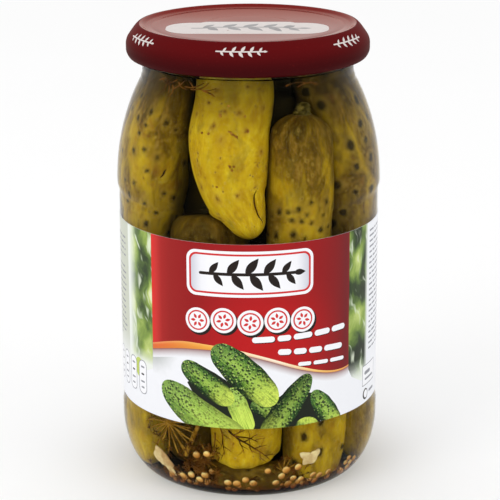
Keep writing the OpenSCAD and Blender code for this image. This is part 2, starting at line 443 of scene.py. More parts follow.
def mat_red():
    """Printed red, lighter at its left edge and richer towards the lower middle; its right end is darkened, painted
    shade where the label turns away from the light.
    """
    b = Nodes("print_red")
    u, v, _ = b.xyz(b.uv("flat"))
    # the darker stops towards the right end are painted shade
    side = b.ramp(b.lin(u, -0.40, 0.42), [
        (0.0, srgb(222, 40, 42)), (0.030, srgb(238, 58, 56)), (0.052, srgb(216, 62, 60)), (0.085, srgb(180, 46, 46)), (0.13, srgb(166, 42, 42)),
        (0.24, srgb(160, 34, 38)), (0.52, srgb(176, 34, 40)), (0.74, srgb(166, 34, 38)), (0.90, srgb(140, 36, 40)),
        (0.95, srgb(122, 38, 44)), (1.0, srgb(150, 38, 44))])
    far = b.vm("LENGTH", b.vec(b.m("MULTIPLY", b.m("SUBTRACT", u, 0.06), 0.9), b.m("SUBTRACT", v, 0.60)))
    col = b.mix(b.m("MULTIPLY", b.step(far, 0.30, 0.04), 0.85), side, srgb(204, 34, 38))
    col = b.mix(1.0, col, (0.84, 0.72, 0.66), "MULTIPLY")
    grain = b.noise(b.place(), 900.0, 3.0, 0.6)
    col = b.mix(b.m("MULTIPLY", grain, 0.10), col, srgb(120, 18, 22))
    nrm = b.bump(b.noise(b.place(), 500.0, 3.0), 0.12, 0.05)
    s = b.principled(Base_Color=col, Roughness=0.36, Specular_IOR_Level=0.10, Normal=nrm)
    return b.finish(s.outputs[0])


def mat_paper(name, base, second, amount=0.4):
    b = Nodes(name)
    p = b.place()
    n = b.noise(p, 420.0, 5.0, 0.65)
    col = b.mix(b.m("MULTIPLY", n, amount), base, second)
    nrm = b.bump(b.noise(p, 700.0, 3.0), 0.12, 0.05)
    s = b.principled(Base_Color=col, Roughness=0.40, Specular_IOR_Level=0.2, Normal=nrm)
    return b.finish(s.outputs[0])


def mat_fade(name, near, far, power=1.0):
    """A printed shadow that fades out with the attribute fade."""
    b = Nodes(name)
    g = b.m("POWER", b.attr("fade"), power, clamp=True)
    n = b.noise(b.place(), 600.0, 3.0)
    col = b.mix(b.m("ADD", g, b.m("MULTIPLY", b.m("SUBTRACT", n, 0.5), 0.06), clamp=True), near, far)
    s = b.principled(Base_Color=col, Roughness=0.40, Specular_IOR_Level=0.2)
    return b.finish(s.outputs[0])


def mat_band():
    """The wave under the red field, gold at both ends and cream in the middle."""
    b = Nodes("print_band")
    u, v, _ = b.xyz(b.uv("flat"))
    side = b.ramp(b.lin(u, -0.40, 0.42), [
        (0.0, srgb(222, 92, 48)), (0.12, srgb(228, 120, 50)), (0.32, srgb(240, 176, 70)), (0.42, srgb(244, 222, 170)),
        (0.60, srgb(248, 240, 220)), (0.78, srgb(244, 206, 120)), (0.92, srgb(236, 168, 84)), (1.0, srgb(214, 140, 90))])
    across = b.attr("fade")
    col = b.mix(b.m("MULTIPLY", b.step(across, 0.35, 1.0), 0.45), side, srgb(206, 120, 50))
    col = b.mix(b.m("MULTIPLY", b.step(across, 0.45, 0.0), 0.25), col, srgb(255, 226, 150))
    n = b.noise(b.place(), 700.0, 3.0)
    col = b.mix(b.m("MULTIPLY", n, 0.12), col, srgb(190, 110, 50))
    s = b.principled(Base_Color=col, Roughness=0.38, Specular_IOR_Level=0.2)
    return b.finish(s.outputs[0])


def mat_cucumber():
    """A printed fresh cucumber. Its own map runs along (x, 0 at the stalk end to 1) and across (y, -1 to 1)."""
    b = Nodes("print_cucumber")
    st = b.uv("own")
    s, t, _ = b.xyz(st)
    flat = b.uv("flat")
    kind = b.attr("kind")
    stripes = b.noise(b.scaled(st, 1.3, 3.2), 2.4, 4.0, 0.6, 0.5)
    rough = b.noise(flat, 95.0, 4.0, 0.7)
    light = b.m("ADD", t, b.m("MULTIPLY", b.m("SUBTRACT", stripes, 0.5), 1.0))
    light = b.m("ADD", light, b.m("MULTIPLY", b.m("SUBTRACT", rough, 0.5), 1.1))
    body = b.ramp(b.lin(light, -1.0, 1.0), [
        (0.0, srgb(14, 34, 12)), (0.14, srgb(34, 70, 22)), (0.32, srgb(100, 144, 46)), (0.50, srgb(164, 198, 84)),
        (0.68, srgb(132, 172, 66)), (0.84, srgb(66, 108, 42)), (1.0, srgb(24, 50, 20))])
    tip = b.m("ADD", s, b.m("MULTIPLY", b.m("SUBTRACT", stripes, 0.5), 0.6))
    inside = b.step(b.m("ABSOLUTE", t), 1.0, 0.55)
    body = b.mix(b.m("MULTIPLY", b.step(tip, 0.50, 0.95), inside), body, srgb(206, 226, 92))
    rays = b.noise(b.scaled(st, 0.6, 7.0), 2.6, 2.0, 0.5, 0.3)
    body = b.mix(b.m("MULTIPLY", b.m("MULTIPLY", b.step(s, 0.62, 0.9), b.step(rays, 0.54, 0.66)), 0.75), body, srgb(112, 156, 46))
    body = b.mix(b.m("MULTIPLY", b.step(tip, 0.32, 0.05), 0.7), body, srgb(62, 104, 52))
    pale = b.m("MULTIPLY", kind, -1.0, clamp=True)
    body = b.mix(b.m("MULTIPLY", pale, 0.85), body, b.mix(b.step(light, -0.9, -0.1), srgb(92, 136, 52), srgb(172, 206, 92)))
    # warts: a light top and a dark foot to one side, fewer near the pale tip
    many = b.step(s, 0.95, 0.55, 0.2, 1.0)
    for grid, size, shift in ((92.0, 0.36, 0.0028), (61.0, 0.30, 0.0036)):
        cell = b.cells(b.scaled(flat, 1, 1, 1, (grid * 0.01, 0.3, 0)), grid, 0.9)
        foot = b.cells(b.scaled(flat, 1, 1, 1, (grid * 0.01 + shift, 0.3 + shift * 1.5, 0)), grid, 0.9)
        body = b.mix(b.m("MULTIPLY", b.step(foot, size + 0.14, size - 0.10), b.m("MULTIPLY", many, 0.92)), body, srgb(14, 34, 12))
        body = b.mix(b.m("MULTIPLY", b.step(cell, size - 0.03, size - 0.17), b.m("MULTIPLY", many, 0.80)), body, srgb(176, 206, 104))
    glint = b.noise(b.scaled(flat, 1, 1, 1, (0.3, 0.2, 0)), 330.0, 2.0, 0.7)
    body = b.mix(b.m("MULTIPLY", b.step(glint, 0.62, 0.72), b.step(s, 0.75, 0.2, 0.15, 0.80)), body, srgb(232, 244, 214))
    body = b.mix(b.m("MULTIPLY", b.step(glint, 0.44, 0.35), 0.75), body, srgb(10, 24, 8))
    body = b.mix(b.m("MULTIPLY", b.step(b.m("ABSOLUTE", t), 0.74, 1.0), 0.65), body, srgb(14, 36, 12))
    body = b.mix(b.m("MULTIPLY", pale, b.step(tip, 0.1, 0.7)), body, b.mix(b.step(rays, 0.5, 0.64), srgb(206, 228, 96), srgb(128, 170, 50)))
    shadow = b.m("MULTIPLY", b.m("MAXIMUM", kind, 0.0), b.step(light, 0.5, -0.5, 0.25, 1.0))
    body = b.mix(shadow, body, b.mix(0.75, body, srgb(8, 22, 10)))
    sh = b.principled(Base_Color=body, Roughness=0.38, Specular_IOR_Level=0.15)
    return b.finish(sh.outputs[0])


def mat_blur():
    """Out-of-focus cucumbers in the side strips, fading to the white paper with the attribute fade."""
    b = Nodes("print_soft_green")
    u, v, _ = b.xyz(b.uv("flat"))
    warp = b.m("MULTIPLY", b.noise(b.vec(b.m("MULTIPLY", u, 9.0), b.m("MULTIPLY", v, 7.0)), 1.0, 2.0), 1.4)
    q = b.vec(b.m("ADD", b.m("ADD", b.m("MULTIPLY", u, 11.0), b.m("MULTIPLY", v, 4.0)), warp), b.m("SUBTRACT", b.m("MULTIPLY", v, 6.0), b.m("MULTIPLY", u, 5.0)))
    shape = b.cells(q, 1.0, 1.0, feature="SMOOTH_F1")
    tone = b.m("ADD", shape, b.m("MULTIPLY", b.m("SUBTRACT", b.noise(q, 2.8, 3.0, 0.6), 0.5), 0.45))
    each = b.noise(q, 0.9, 1.0)
    tone = b.m("ADD", tone, b.m("MULTIPLY", b.m("SUBTRACT", each, 0.5), 1.1))
    tone = b.m("ADD", tone, b.step(u, -0.1, 0.1, -0.05, 0.15))
    col = b.ramp(b.lin(tone, 0.0, 0.85), [
        (0.0, srgb(220, 228, 186)), (0.20, srgb(186, 202, 116)), (0.42, srgb(136, 160, 74)), (0.62, srgb(92, 116, 56)),
        (0.80, srgb(56, 72, 42)), (1.0, srgb(40, 48, 34))])
    white = b.step(b.noise(b.scaled(q, 1.6, 0.7), 1.5, 2.0), 0.56, 0.68)
    col = b.mix(b.m("MULTIPLY", white, 0.75), col, srgb(226, 236, 212))
    g = b.attr("fade")
    col = b.mix(g, col, srgb(232, 236, 230))
    s = b.principled(Base_Color=col, Roughness=0.40, Specular_IOR_Level=0.12)
    return b.finish(s.outputs[0])


def mat_cap(name, upper, lower, low, high, gloss_far, gloss_near):
    """Dark red lacquer: the paint below, a thin clear shine that grows at a low angle. The paint runs from upper to
    lower down the skirt, painted shade, and the shine's colour runs from gloss_far to gloss_near, a painted reflection.
    """
    b = Nodes(name)
    p = b.place()
    n = b.noise(p, 60.0, 3.0, 0.5)
    peel = b.noise(p, 900.0, 2.0, 0.5)
    x, y, z = b.xyz(p)
    fleck = b.noise(p, 1600.0, 2.0, 0.6)
    # painted shade: the paint turns from upper to lower down the skirt
    col = b.mix(b.step(z, 0.1545, 0.1625), lower, upper)
    col = b.mix(b.m("MULTIPLY", n, 0.25), col, srgb(70, 8, 10))
    col = b.mix(b.m("MULTIPLY", b.step(fleck, 0.62, 0.75), 0.15), col, srgb(140, 40, 38))
    nrm = b.bump(b.m("ADD", b.m("MULTIPLY", n, 0.6), b.m("MULTIPLY", peel, 0.05)), 0.35, 0.10)
    base = b.principled(Base_Color=col, Roughness=0.5, Specular_IOR_Level=0.0, Normal=nrm)
    cloud = b.noise(p, 25.0, 2.0, 0.5)
    # painted reflection: the shine's colour runs from gloss_far at the back of the cap to gloss_near at the front
    tone = b.mix(b.step(b.m("ADD", y, b.m("MULTIPLY", b.m("SUBTRACT", cloud, 0.5), 0.03)), 0.034, -0.034), gloss_far, gloss_near)
    shine = b.node("ShaderNodeBsdfAnisotropic", {"Color": tone, "Roughness": 0.16, "Normal": nrm})
    fr = b.node("ShaderNodeFresnel", {"IOR": 1.5, "Normal": nrm})
    fac = b.lin(fr.outputs[0], 0.04, 1.0, low, high)
    s = b.node("ShaderNodeMixShader", {0: fac, 1: base.outputs[0], 2: shine.outputs[0]})
    return b.finish(s.outputs[0])


def mat_cap_inside():
    b = Nodes("cap_inside")
    n = b.noise(b.place(), 300.0, 3.0)
    col = b.mix(n, srgb(196, 186, 160), srgb(176, 164, 136))
    s = b.principled(Base_Color=col, Roughness=0.45, Metallic=0.3)
    return b.finish(s.outputs[0])


def mat_ink(name, colour, second, rough=0.4):
    b = Nodes(name)
    n = b.noise(b.place(), 800.0, 3.0)
    col = b.mix(n, colour, second)
    s = b.principled(Base_Color=col, Roughness=rough, Specular_IOR_Level=0.25)
    return b.finish(s.outputs[0])


GLASS = mat_glass("clear_glass", 0.002, 1.0, (1.0, 1.0, 1.0), 1.35)
# the wet inner faces' shine is tinted brown: a painted reflection of the contents' colour
GLASS_WET = mat_glass("wet_glass", 0.0, 0.6, srgb(150, 110, 50), 2.5)
BRINE, SKIN = mat_brine(), mat_pickle()


# ---------------------------------------------------------------- jar, brine
def jar_shape(r, z, phi):
    # four short threads, fine side seams of the mould, and knurls on the ring it stands on
    out = np.zeros_like(r)
    if 155.6 < z[0] < 158.7 and r[0] > 39:
        for k in range(4):
            a = (np.degrees(phi) - 90 - (8 + 90 * k)) % 360
            inside = np.clip(np.minimum(a, 52 - a) / 3.0, 0, 1) * (a < 52)
            out += 1.3 * inside * np.clip(1 - abs(z[0] - 157.0) / 1.3, 0, 1)
    if r[0] > 40 and 3 < z[0] < 150:
        seam = np.minimum((phi - pi / 2) % pi, pi - (phi - pi / 2) % pi)
        out += 0.05 * np.exp(-((seam / 0.010) ** 2))
    lift = np.zeros_like(z)
    if z[0] < 0.01 and 31.0 < r[0] < 36.0:
        lift = 0.22 * (0.5 - 0.5 * np.cos(72 * phi))
    return r + out, z + lift


v, f, row = lathe(OUTER + INNER[::-1], 400, jar_shape)
profile_z = np.array([q[1] for q in OUTER + INNER[::-1]])
wet = (row > len(OUTER)) & (profile_z[np.minimum(row, len(profile_z) - 1)] < 149.9)
jar = make("jar_glass", v, f, [GLASS, GLASS_WET], wet.astype(int), angle=50)

reach = 0.12  # the brine reaches this far into the glass, so that no air gap shows
low = [(r, z) for r, z in INNER if z < BRINE_Z - 0.01]
body = []
for i, (r, z) in enumerate(low):
    a = low[max(i - 1, 0)]
    c = low[min(i + 1, len(low) - 1)]
    d = math.hypot(c[0] - a[0], c[1] - a[1]) or 1.0
    nr, nz = (c[1] - a[1]) / d, -(c[0] - a[0]) / d
    body.append((max(r + nr * reach, 0.0) if r > 0 else 0.0, z + nz * reach))
edge_r = IN_NECK + reach
top = [(edge_r - d, BRINE_Z + 0.9 * math.exp(-d / 1.1)) for d in (0.0, 0.25, 0.5, 0.8, 1.2, 1.7, 2.4, 3.4, 5.0, 8.0)] + [(20.0, BRINE_Z), (10.0, BRINE_Z), (0.0, BRINE_Z)]
v, f, row = lathe(body + top, 256)
brine = make("brine_body", v, f, [BRINE], angle=60)


# ---------------------------------------------------------------- pickles
def catmull(pts, t):
    """A smooth curve through the rows of pts, at t from 0 to 1."""
    pts = np.asarray(pts, float)
    d = np.concatenate([[0], np.cumsum(np.maximum(np.linalg.norm(np.diff(pts[:, :3], axis=0), axis=1), 1e-6))])
    d /= d[-1]
    out = np.empty((len(t), pts.shape[1]))
    k = np.clip(np.searchsorted(d, t, side="right") - 1, 0, len(d) - 2)
    for i, (tt, j) in enumerate(zip(t, k)):
        h = d[j + 1] - d[j]
        x = (tt - d[j]) / h
        m0 = (pts[j + 1] - pts[max(j - 1, 0)]) / (d[j + 1] - d[max(j - 1, 0)]) * h
        m1 = (pts[min(j + 2, len(d) - 1)] - pts[j]) / (d[min(j + 2, len(d) - 1)] - d[j]) * h
        out[i] = (2 * x**3 - 3 * x**2 + 1) * pts[j] + (x**3 - 2 * x**2 + x) * m0 + (-2 * x**3 + 3 * x**2) * pts[j + 1] + (x**3 - x**2) * m1
    return out


def ripple(rng, th, s, waves, amp):
    """A smooth uneven field round and along a pickle."""
    out = np.zeros(np.broadcast(th, s).shape)
    for _ in range(waves):
        k, w = rng.integers(0, 5), rng.uniform(0.6, 4.2)
        out = out + np.cos(k * th + rng.uniform(0, 6.28) + s * w * 6.28 + rng.uniform(0, 6.28)) * rng.uniform(0.3, 1.0)
    return out * amp / math.sqrt(waves)


def pickle(stations, seed, na=72, nl=84, ends=(0.14, 0.14), warts=18, wart=(0.9, 1.5), wart_s=(0.08, 0.92), wart_h=0.35, brown=0.3, bright=0.8,
           lobes=0.035, ridges=0.012, uneven=0.035, top_brown=0.0, end_brown=0.0, skin_gap=0.35, keep=None, low_brown=0.0, wart_gap=5.2, shade=0.0, top_shade=0.0):
    """One whole pickle along stations of (x, y, z, radius), lowest first. Returns its points, faces, map and values."""
    rng = np.random.default_rng(seed)
    t = 0.5 - 0.5 * np.cos(pi * np.linspace(0, 1, nl + 1))
    t = 0.55 * t + 0.45 * np.linspace(0, 1, nl + 1)
    line = catmull(stations, t)
    P, R = line[:, :3], np.maximum(line[:, 3], 0.2)
    cap0 = np.sqrt(np.clip(1 - (1 - np.clip(t / ends[0], 0, 1)) ** 2.2, 0, 1))
    cap1 = np.sqrt(np.clip(1 - (1 - np.clip((1 - t) / ends[1], 0, 1)) ** 2.2, 0, 1))
    R = R * cap0 * cap1
    T = np.gradient(P, axis=0)
    T /= np.linalg.norm(T, axis=1)[:, None]
    mid = P[len(P) // 2]
    out = np.array([mid[0], mid[1], 0.0])
    out = out / np.linalg.norm(out) if np.linalg.norm(out) > 3 else np.array([0, -1.0, 0])
    N = out - (T @ out)[:, None] * T
    N /= np.linalg.norm(N, axis=1)[:, None]
    B = np.cross(T, N)
    th = -pi + 2 * pi * np.arange(na) / na
    TH, S = np.meshgrid(th, t)
    length = float(np.linalg.norm(np.diff(P, axis=0), axis=1).sum())
    a3, a2, a8 = rng.uniform(0, 6.28, 3)
    shape = 1 + lobes * np.cos(3 * TH + a3) + 0.6 * lobes * np.cos(2 * TH + a2) + ridges * np.cos(9 * TH + a8 + 0.8 * np.sin(5 * S)) + ripple(rng, TH, S, 7, uneven)
    rr = R[:, None] * shape
    # warts
    spot = np.full(TH.shape, 6.0)
    placed = []
    for _ in range(warts * 12):
        if len(placed) >= warts:
            break
        ws, wa = rng.uniform(*wart_s), rng.uniform(-pi, pi)
        rad = np.interp(ws, t, R)
        if rad < 3 or any((abs(ws - q[0]) * length) ** 2 + (((wa - q[1] + pi) % (2 * pi) - pi) * rad) ** 2 < wart_gap**2 for q in placed):
            continue
        placed.append((ws, wa))
        size = rng.uniform(*wart)
        da = (TH - wa + pi) % (2 * pi) - pi
        stretch = rng.uniform(0.85, 1.3)
        d = np.sqrt(((S - ws) * length / stretch) ** 2 + (da * rad) ** 2)
        rr = rr + wart_h * rng.uniform(0.5, 1.3) * np.exp(-((d / (size * 1.15)) ** 2)) - 0.25 * wart_h * np.exp(-((d / (size * 0.5)) ** 2))
        spot = np.minimum(spot, d - size)
    V = P[:, None, :] + (N[:, None, :] * np.cos(TH)[..., None] + B[:, None, :] * np.sin(TH)[..., None]) * rr[..., None]
    # pressed against the glass where it would go through
    rho = np.hypot(V[..., 0], V[..., 1])
    lim = inner_r(np.clip(V[..., 2], LOW, 160)) - skin_gap
    over = np.maximum(rho - lim, 0)
    k = np.where(over > 0, lim / np.maximum(rho, 1e-6), 1.0)
    V[..., 0] *= k
    V[..., 1] *= k
    V[..., 2] = np.maximum(V[..., 2], floor_z(np.hypot(V[..., 0], V[..., 1])) + 0.3)
    rho = np.hypot(V[..., 0], V[..., 1])
    room = inner_r(np.clip(V[..., 2], LOW, 160)) - rho
    # painted shade: darker with the room between skin and glass, towards the neck under the cap, and by the shade and
    # top_shade settings
    deep = np.clip(smooth(6.0, 26.0, room) + 0.60 * smooth(128.0, 148.0, V[..., 2]) + shade + top_shade * smooth(0.62, 0.86, S), 0, 1)
    bm = np.clip(brown + top_brown * smooth(0.62, 1.0, S) + low_brown * smooth(0.4, 0.0, S) + end_brown * (smooth(0.88, 1.0, S) + smooth(0.12, 0.0, S)) + ripple(rng, TH, S, 5, 0.10), 0, 1)
    verts = np.concatenate([V[0:1, 0], V[1:-1].reshape(-1, 3), V[-1:, 0]])
    if keep is not None:
        keep.update(P=P, N=N, B=B, R=R, t=t)

    def flat(a):
        return np.concatenate([a[0:1, 0], a[1:-1].reshape(-1), a[-1:, 0]])

    n_in = nl - 1
    faces, uvs = [], []
    circ = 2 * pi * float(R.max()) / 10
    length_cm = length / 10
    off = rng.uniform(0, 50)
    last = 1 + n_in * na
    for i in range(na):
        j = (i + 1) % na
        u0, u1 = (i / na) * circ + off, ((i + 1) / na) * circ + off
        faces.append((0, 1 + j, 1 + i))
        uvs += [(0.5 * (u0 + u1), off), (u1, off + t[1] * length_cm), (u0, off + t[1] * length_cm)]
    for q in range(n_in - 1):
        a, c = 1 + q * na, 1 + (q + 1) * na
        v0, v1 = off + t[q + 1] * length_cm, off + t[q + 2] * length_cm
        for i in range(na):
            j = (i + 1) % na
            u0, u1 = (i / na) * circ + off, ((i + 1) / na) * circ + off
            faces.append((a + i, a + j, c + j, c + i))
            uvs += [(u0, v0), (u1, v0), (u1, v1), (u0, v1)]
    a = 1 + (n_in - 1) * na
    for i in range(na):
        j = (i + 1) % na
        u0, u1 = (i / na) * circ + off, ((i + 1) / na) * circ + off
        faces.append((a + i, a + j, last))
        uvs += [(u0, off + t[-2] * length_cm), (u1, off + t[-2] * length_cm), (0.5 * (u0 + u1), off + length_cm)]
    return verts, faces, uvs, {"brown": flat(bm), "bright": np.full(len(verts), bright), "deep": flat(deep), "spot": flat(spot)}


def join(parts):
    verts, faces, uvs, vals, n = [], [], [], {}, 0
    for v_, f_, u_, a_ in parts:
        verts.append(v_)
        faces += [tuple(i + n for i in x) for x in f_]
        uvs += u_
        for k_, x in a_.items():
            vals.setdefault(k_, []).append(x)
        n += len(v_)
    return np.concatenate(verts), faces, uvs, {k_: np.concatenate(x) for k_, x in vals.items()}


def ring(phi, rho, tilt=0.0):
    """A point at an angle from the front, in degrees, and a distance from the axis."""
    a = math.radians(phi)
    return rho * math.sin(a), -rho * math.cos(a)


def upright(phi, rho, z0, z1, r, lean=0.0, squeeze=0.8, seed=0):
    """Stations of a pickle that stands in the ring, narrower where the jar's shoulder narrows."""
    rng = np.random.default_rng(seed + 900)
    out = []
    for q in (0.0, 0.2, 0.45, 0.7, 1.0):
        z = z0 + (z1 - z0) * q
        rad = r * (1 - 0.16 * abs(2 * q - 1) ** 2) * (1 + rng.uniform(-0.03, 0.03))
        room = float(inner_r(min(z, 149))) - 0.4 - rad
        x, y = ring(phi + lean * (q - 0.5), min(rho, room))
        out.append((x, y, z, rad))
    return out


P1, P2, P3 = {}, {}, {}
upper = [
    # the bright one in front, with its tapered lower end
    pickle([(1.6, -39.6, 97.0, 4.0), (0.1, -38.3, 100.8, 5.6), (-2.0, -36.1, 105.6, 7.7), (-4.4, -33.9, 111.0, 10.0), (-5.8, -31.6, 118.4, 11.7),
            (-6.2, -30.2, 125.0, 12.4), (-6.2, -28.3, 131.0, 12.7), (-4.9, -25.6, 140.4, 12.3), (-4.4, -23.6, 152.0, 11.6), (-4.0, -22.8, 158.0, 10.5)],
           11, 140, 164, (0.07, 0.12), 34, (0.22, 0.50), (0.14, 0.85), 0.20, -0.06, 1.0, 0.02, 0.004, 0.022, low_brown=0.15, keep=P2, skin_gap=0.6),
    # centre right, with the stalk
    pickle([(15.0, -29.0, 62.0, 8.0), (15.8, -29.8, 80.0, 10.2), (16.1, -29.8, 97.0, 10.6), (16.4, -29.2, 104.4, 10.8), (16.5, -29.0, 111.0, 10.9),
            (16.6, -28.6, 119.0, 10.8), (17.0, -27.4, 127.5, 10.3), (17.3, -26.6, 136.6, 8.6)],
           23, 108, 120, (0.1, 0.085), 46, (0.4, 0.8), (0.40, 0.64), 0.30, 0.45, 0.77, 0.02, 0.006, 0.02, top_brown=0.50, keep=P3, wart_gap=3.2),
    # left
    pickle([(-33.4, -13.5, 84.0, 7.0), (-32.4, -12.0, 93.0, 9.6), (-31.0, -10.4, 102.3, 11.9), (-30.3, -9.7, 110.0, 12.9), (-29.6, -9.7, 119.4, 13.2),
            (-28.3, -10.6, 130.0, 12.3), (-25.4, -14.0, 142.7, 9.6), (-23.0, -15.5, 153.0, 8.0)],
           37, 100, 116, (0.12, 0.12), 58, (0.55, 0.95), (0.06, 0.80), 0.35, 0.34, 0.86, 0.02, 0.010, 0.02, top_brown=0.8, skin_gap=0.6, wart_gap=4.2, shade=-0.22, top_shade=0.26, keep=P1),
    # right, brown with large warts
    pickle([(33.5, -11.5, 84.0, 7.5), (32.4, -9.6, 95.0, 10.4), (31.0, -7.6, 107.0, 12.6), (29.8, -7.6, 118.0, 13.0), (27.6, -9.0, 128.0, 12.6),
            (24.8, -10.6, 137.0, 11.4), (21.5, -11.5, 147.0, 9.4), (20.5, -11.5, 155.0, 8.0)],
           41, 100, 116, (0.12, 0.1), 42, (0.9, 1.6), (0.10, 0.93), 0.45, 0.60, 0.74, 0.02, 0.012, 0.02, top_brown=0.8, wart_gap=5.6),
    # the dull rounded top between the two, deeper in
    pickle([(-10.0, -22.0, 44.0, 9.0), (-11.0, -24.0, 60.0, 12.0), (-12.2, -26.0, 80.0, 13.0), (-12.6, -26.6, 95.0, 12.4), (-13.0, -26.6, 104.6, 10.0)],
           53, 64, 70, (0.1, 0.11), 8, (0.6, 1.0), (0.1, 0.8), 0.2, 0.85, 0.60, 0.02, 0.004, 0.02, shade=0.22),
]
for i, (phi, rho, z0, z1, r, br, bt) in enumerate([
    (118, 31.0, 80, 152, 12.6, 0.25, 0.85), (158, 31.5, 84, 150, 12.4, 0.45, 0.72), (198, 31.0, 76, 154, 12.8, 0.12, 0.95), (242, 31.2, 82, 151, 12.6, 0.5, 0.7),
]):
    upper.append(pickle(upright(phi, rho, z0, z1, r, (-1) ** i * 7, seed=i), 60 + i, 58, 68, (0.13, 0.12), 26, (0.7, 1.5), (0.08, 0.9), 0.35, br, bt, 0.025, 0.010, 0.022, top_brown=0.25))
upper.append(pickle([(2, 3, 78, 12), (0, 1, 100, 15.5), (-1, 2, 125, 15.5), (1, 2, 150, 11)], 71, 48, 50, (0.12, 0.12), 10, (0.8, 1.2), brown=0.6, bright=0.6))
v, f, uv, vals = join(upper)
pickles_upper = make("pickles_upper", v, f, [SKIN])
uv_map(pickles_upper, "skin", uv)
for k_, x in vals.items():
    attribute(pickles_upper, k_, x)

lower = [
    # centre front, ribbed, blunt lower end
    pickle([(-1.0, -31.2, 12.4, 9.0), (-1.3, -31.9, 16.5, 10.7), (-1.5, -32.4, 23.5, 11.6), (-1.7, -32.0, 40.0, 11.8), (-2.2, -31.4, 60.0, 11.6), (-2.0, -30.0, 86.0, 9.0)],
           83, 96, 110, (0.06, 0.12), 10, (0.35, 0.6), (0.1, 0.9), 0.25, 0.10, 1.0, 0.02, 0.035, 0.02, skin_gap=0.8),
    # right front, bumpy
    pickle([(19.6, -26.0, 6.0, 8.0), (20.6, -26.8, 12.0, 10.0), (21.4, -27.0, 21.8, 11.0), (21.2, -27.4, 40.0, 11.0), (20.6, -27.6, 58.0, 9.0)],
           89, 90, 90, (0.09, 0.12), 34, (0.8, 1.3), (0.05, 0.9), 0.60, 0.30, 0.84, 0.02, 0.012, 0.025, skin_gap=1.0),
    # left, smooth
    pickle([(-31.2, -12.5, 6.4, 8.0), (-32.6, -12.6, 14.0, 9.8), (-33.0, -13.0, 24.0, 10.6), (-32.6, -12.6, 45.0, 11.0), (-32.0, -12.2, 78.0, 8.4)],
           97, 84, 90, (0.09, 0.12), 10, (0.4, 0.7), (0.1, 0.9), 0.25, 0.14, 0.92, 0.02, 0.008, 0.02),
    # right
    pickle([(34.0, -6.0, 6.4, 8.0), (34.0, -6.5, 14.0, 9.8), (33.6, -7.0, 24.0, 10.8), (33.0, -7.0, 45.0, 11.0), (32.0, -8.0, 76.0, 8.4)],
           101, 84, 90, (0.09, 0.12), 14, (0.6, 1.2), (0.1, 0.9), 0.3, 0.48, 0.76, 0.02, 0.008, 0.02),
    # deeper, in the gap on the left
    pickle([(-15.0, -19.0, 9.0, 8.5), (-15.5, -20.0, 20.0, 10.5), (-16.0, -20.5, 40.0, 10.5), (-16.0, -20.0, 62.0, 8.0)],
           103, 48, 60, (0.1, 0.12), 8, brown=0.8, bright=0.5, shade=0.25),
    # one lying across the bottom at the front
    pickle([(-15.0, -30.0, 9.6, 3.4), (-6.0, -34.0, 9.0, 4.6), (6.0, -35.0, 8.8, 4.8), (16.0, -31.5, 9.4, 4.0)],
           107, 56, 90, (0.12, 0.12), 6, (0.4, 0.7), brown=0.95, bright=0.60),
]
for i, (phi, rho, z0, z1, r, br, bt) in enumerate([
    (117, 32.0, 7, 82, 12.0, 0.3, 0.78), (155, 32.0, 8, 86, 12.2, 0.5, 0.7), (197, 32.0, 7, 78, 12.0, 0.25, 0.8), (241, 32.0, 8, 84, 12.2, 0.4, 0.75),
]):
    lower.append(pickle(upright(phi, rho, z0, z1, r, (-1) ** i * 6, seed=20 + i), 120 + i, 60, 70, (0.1, 0.12), 22, (0.7, 1.4), (0.06, 0.9), 0.35, br, bt, 0.025, 0.012, 0.022))
lower.append(pickle([(0, 2, 9, 12), (1, 1, 35, 16), (0, 2, 60, 16), (-1, 0, 82, 12)], 131, 48, 50, (0.12, 0.12), 8, brown=0.6, bright=0.6))
v, f, uv, vals = join(lower)
pickles_lower = make("pickles_lower", v, f, [SKIN])
uv_map(pickles_lower, "skin", uv)
for k_, x in vals.items():
    attribute(pickles_lower, k_, x)

# a dark filler in the middle that the pickles and seeds lie round: painted shade, so the gaps between them read as deep
# shadow
prof = [(0, 7.6)] + [(22 + 2 * math.sin(i * 1.7), 8 + i * 7.3) for i in range(19)] + [(0, 147.5)]
v, f, row = lathe(prof, 64, lambda r, z, p: (r * (1 + 0.10 * np.sin(5 * p + z[0] * 0.11) + 0.06 * np.sin(8 * p - z[0] * 0.07)), z))
CORE = mat_plant("painted_shade_fill", srgb(26, 20, 6), srgb(52, 40, 10), 90.0)
core = make("pickles_core", v, f, [CORE], angle=80)
attribute(core, "deep", np.full(len(v), 0.8))


# ---------------------------------------------------------------- dill, garlic, seeds
def tube(points, radii, sides=6):
    P = np.asarray(points, float)
    n = len(P)
    R = np.broadcast_to(np.asarray(radii, float), (n,))
    T = np.gradient(P, axis=0)
    T /= np.maximum(np.linalg.norm(T, axis=1), 1e-9)[:, None]
    ref = np.array([0.31, 0.17, 0.93])
    if abs(T[0] @ ref) > 0.9:
        ref = np.array([0.9, 0.3, 0.1])
    N = np.cross(T, ref)
    N /= np.linalg.norm(N, axis=1)[:, None]
    B = np.cross(T, N)
    th = 2 * pi * np.arange(sides) / sides
    V = (P[:, None] + (N[:, None] * np.cos(th)[None, :, None] + B[:, None] * np.sin(th)[None, :, None]) * R[:, None, None]).reshape(-1, 3)
    V = np.concatenate([V, P[:1] - T[:1] * R[0] * 0.6, P[-1:] + T[-1:] * R[-1] * 0.6])
    faces = []
    for q in range(n - 1):
        for i in range(sides):
            j = (i + 1) % sides
            faces.append((q * sides + i, q * sides + j, (q + 1) * sides + j, (q + 1) * sides + i))
    for i in range(sides):
        j = (i + 1) % sides
        faces.append((n * sides, j, i))
        faces.append((n * sides + 1, (n - 1) * sides + i, (n - 1) * sides + j))
    return V, faces


def ball(sub=2):
    import bmesh
    bm = bmesh.new()
    bmesh.ops.create_icosphere(bm, subdivisions=sub, radius=1.0)
    V = np.array([x.co[:] for x in bm.verts])
    F = [tuple(x.index for x in q.verts) for q in bm.faces]
    bm.free()
    return V, F


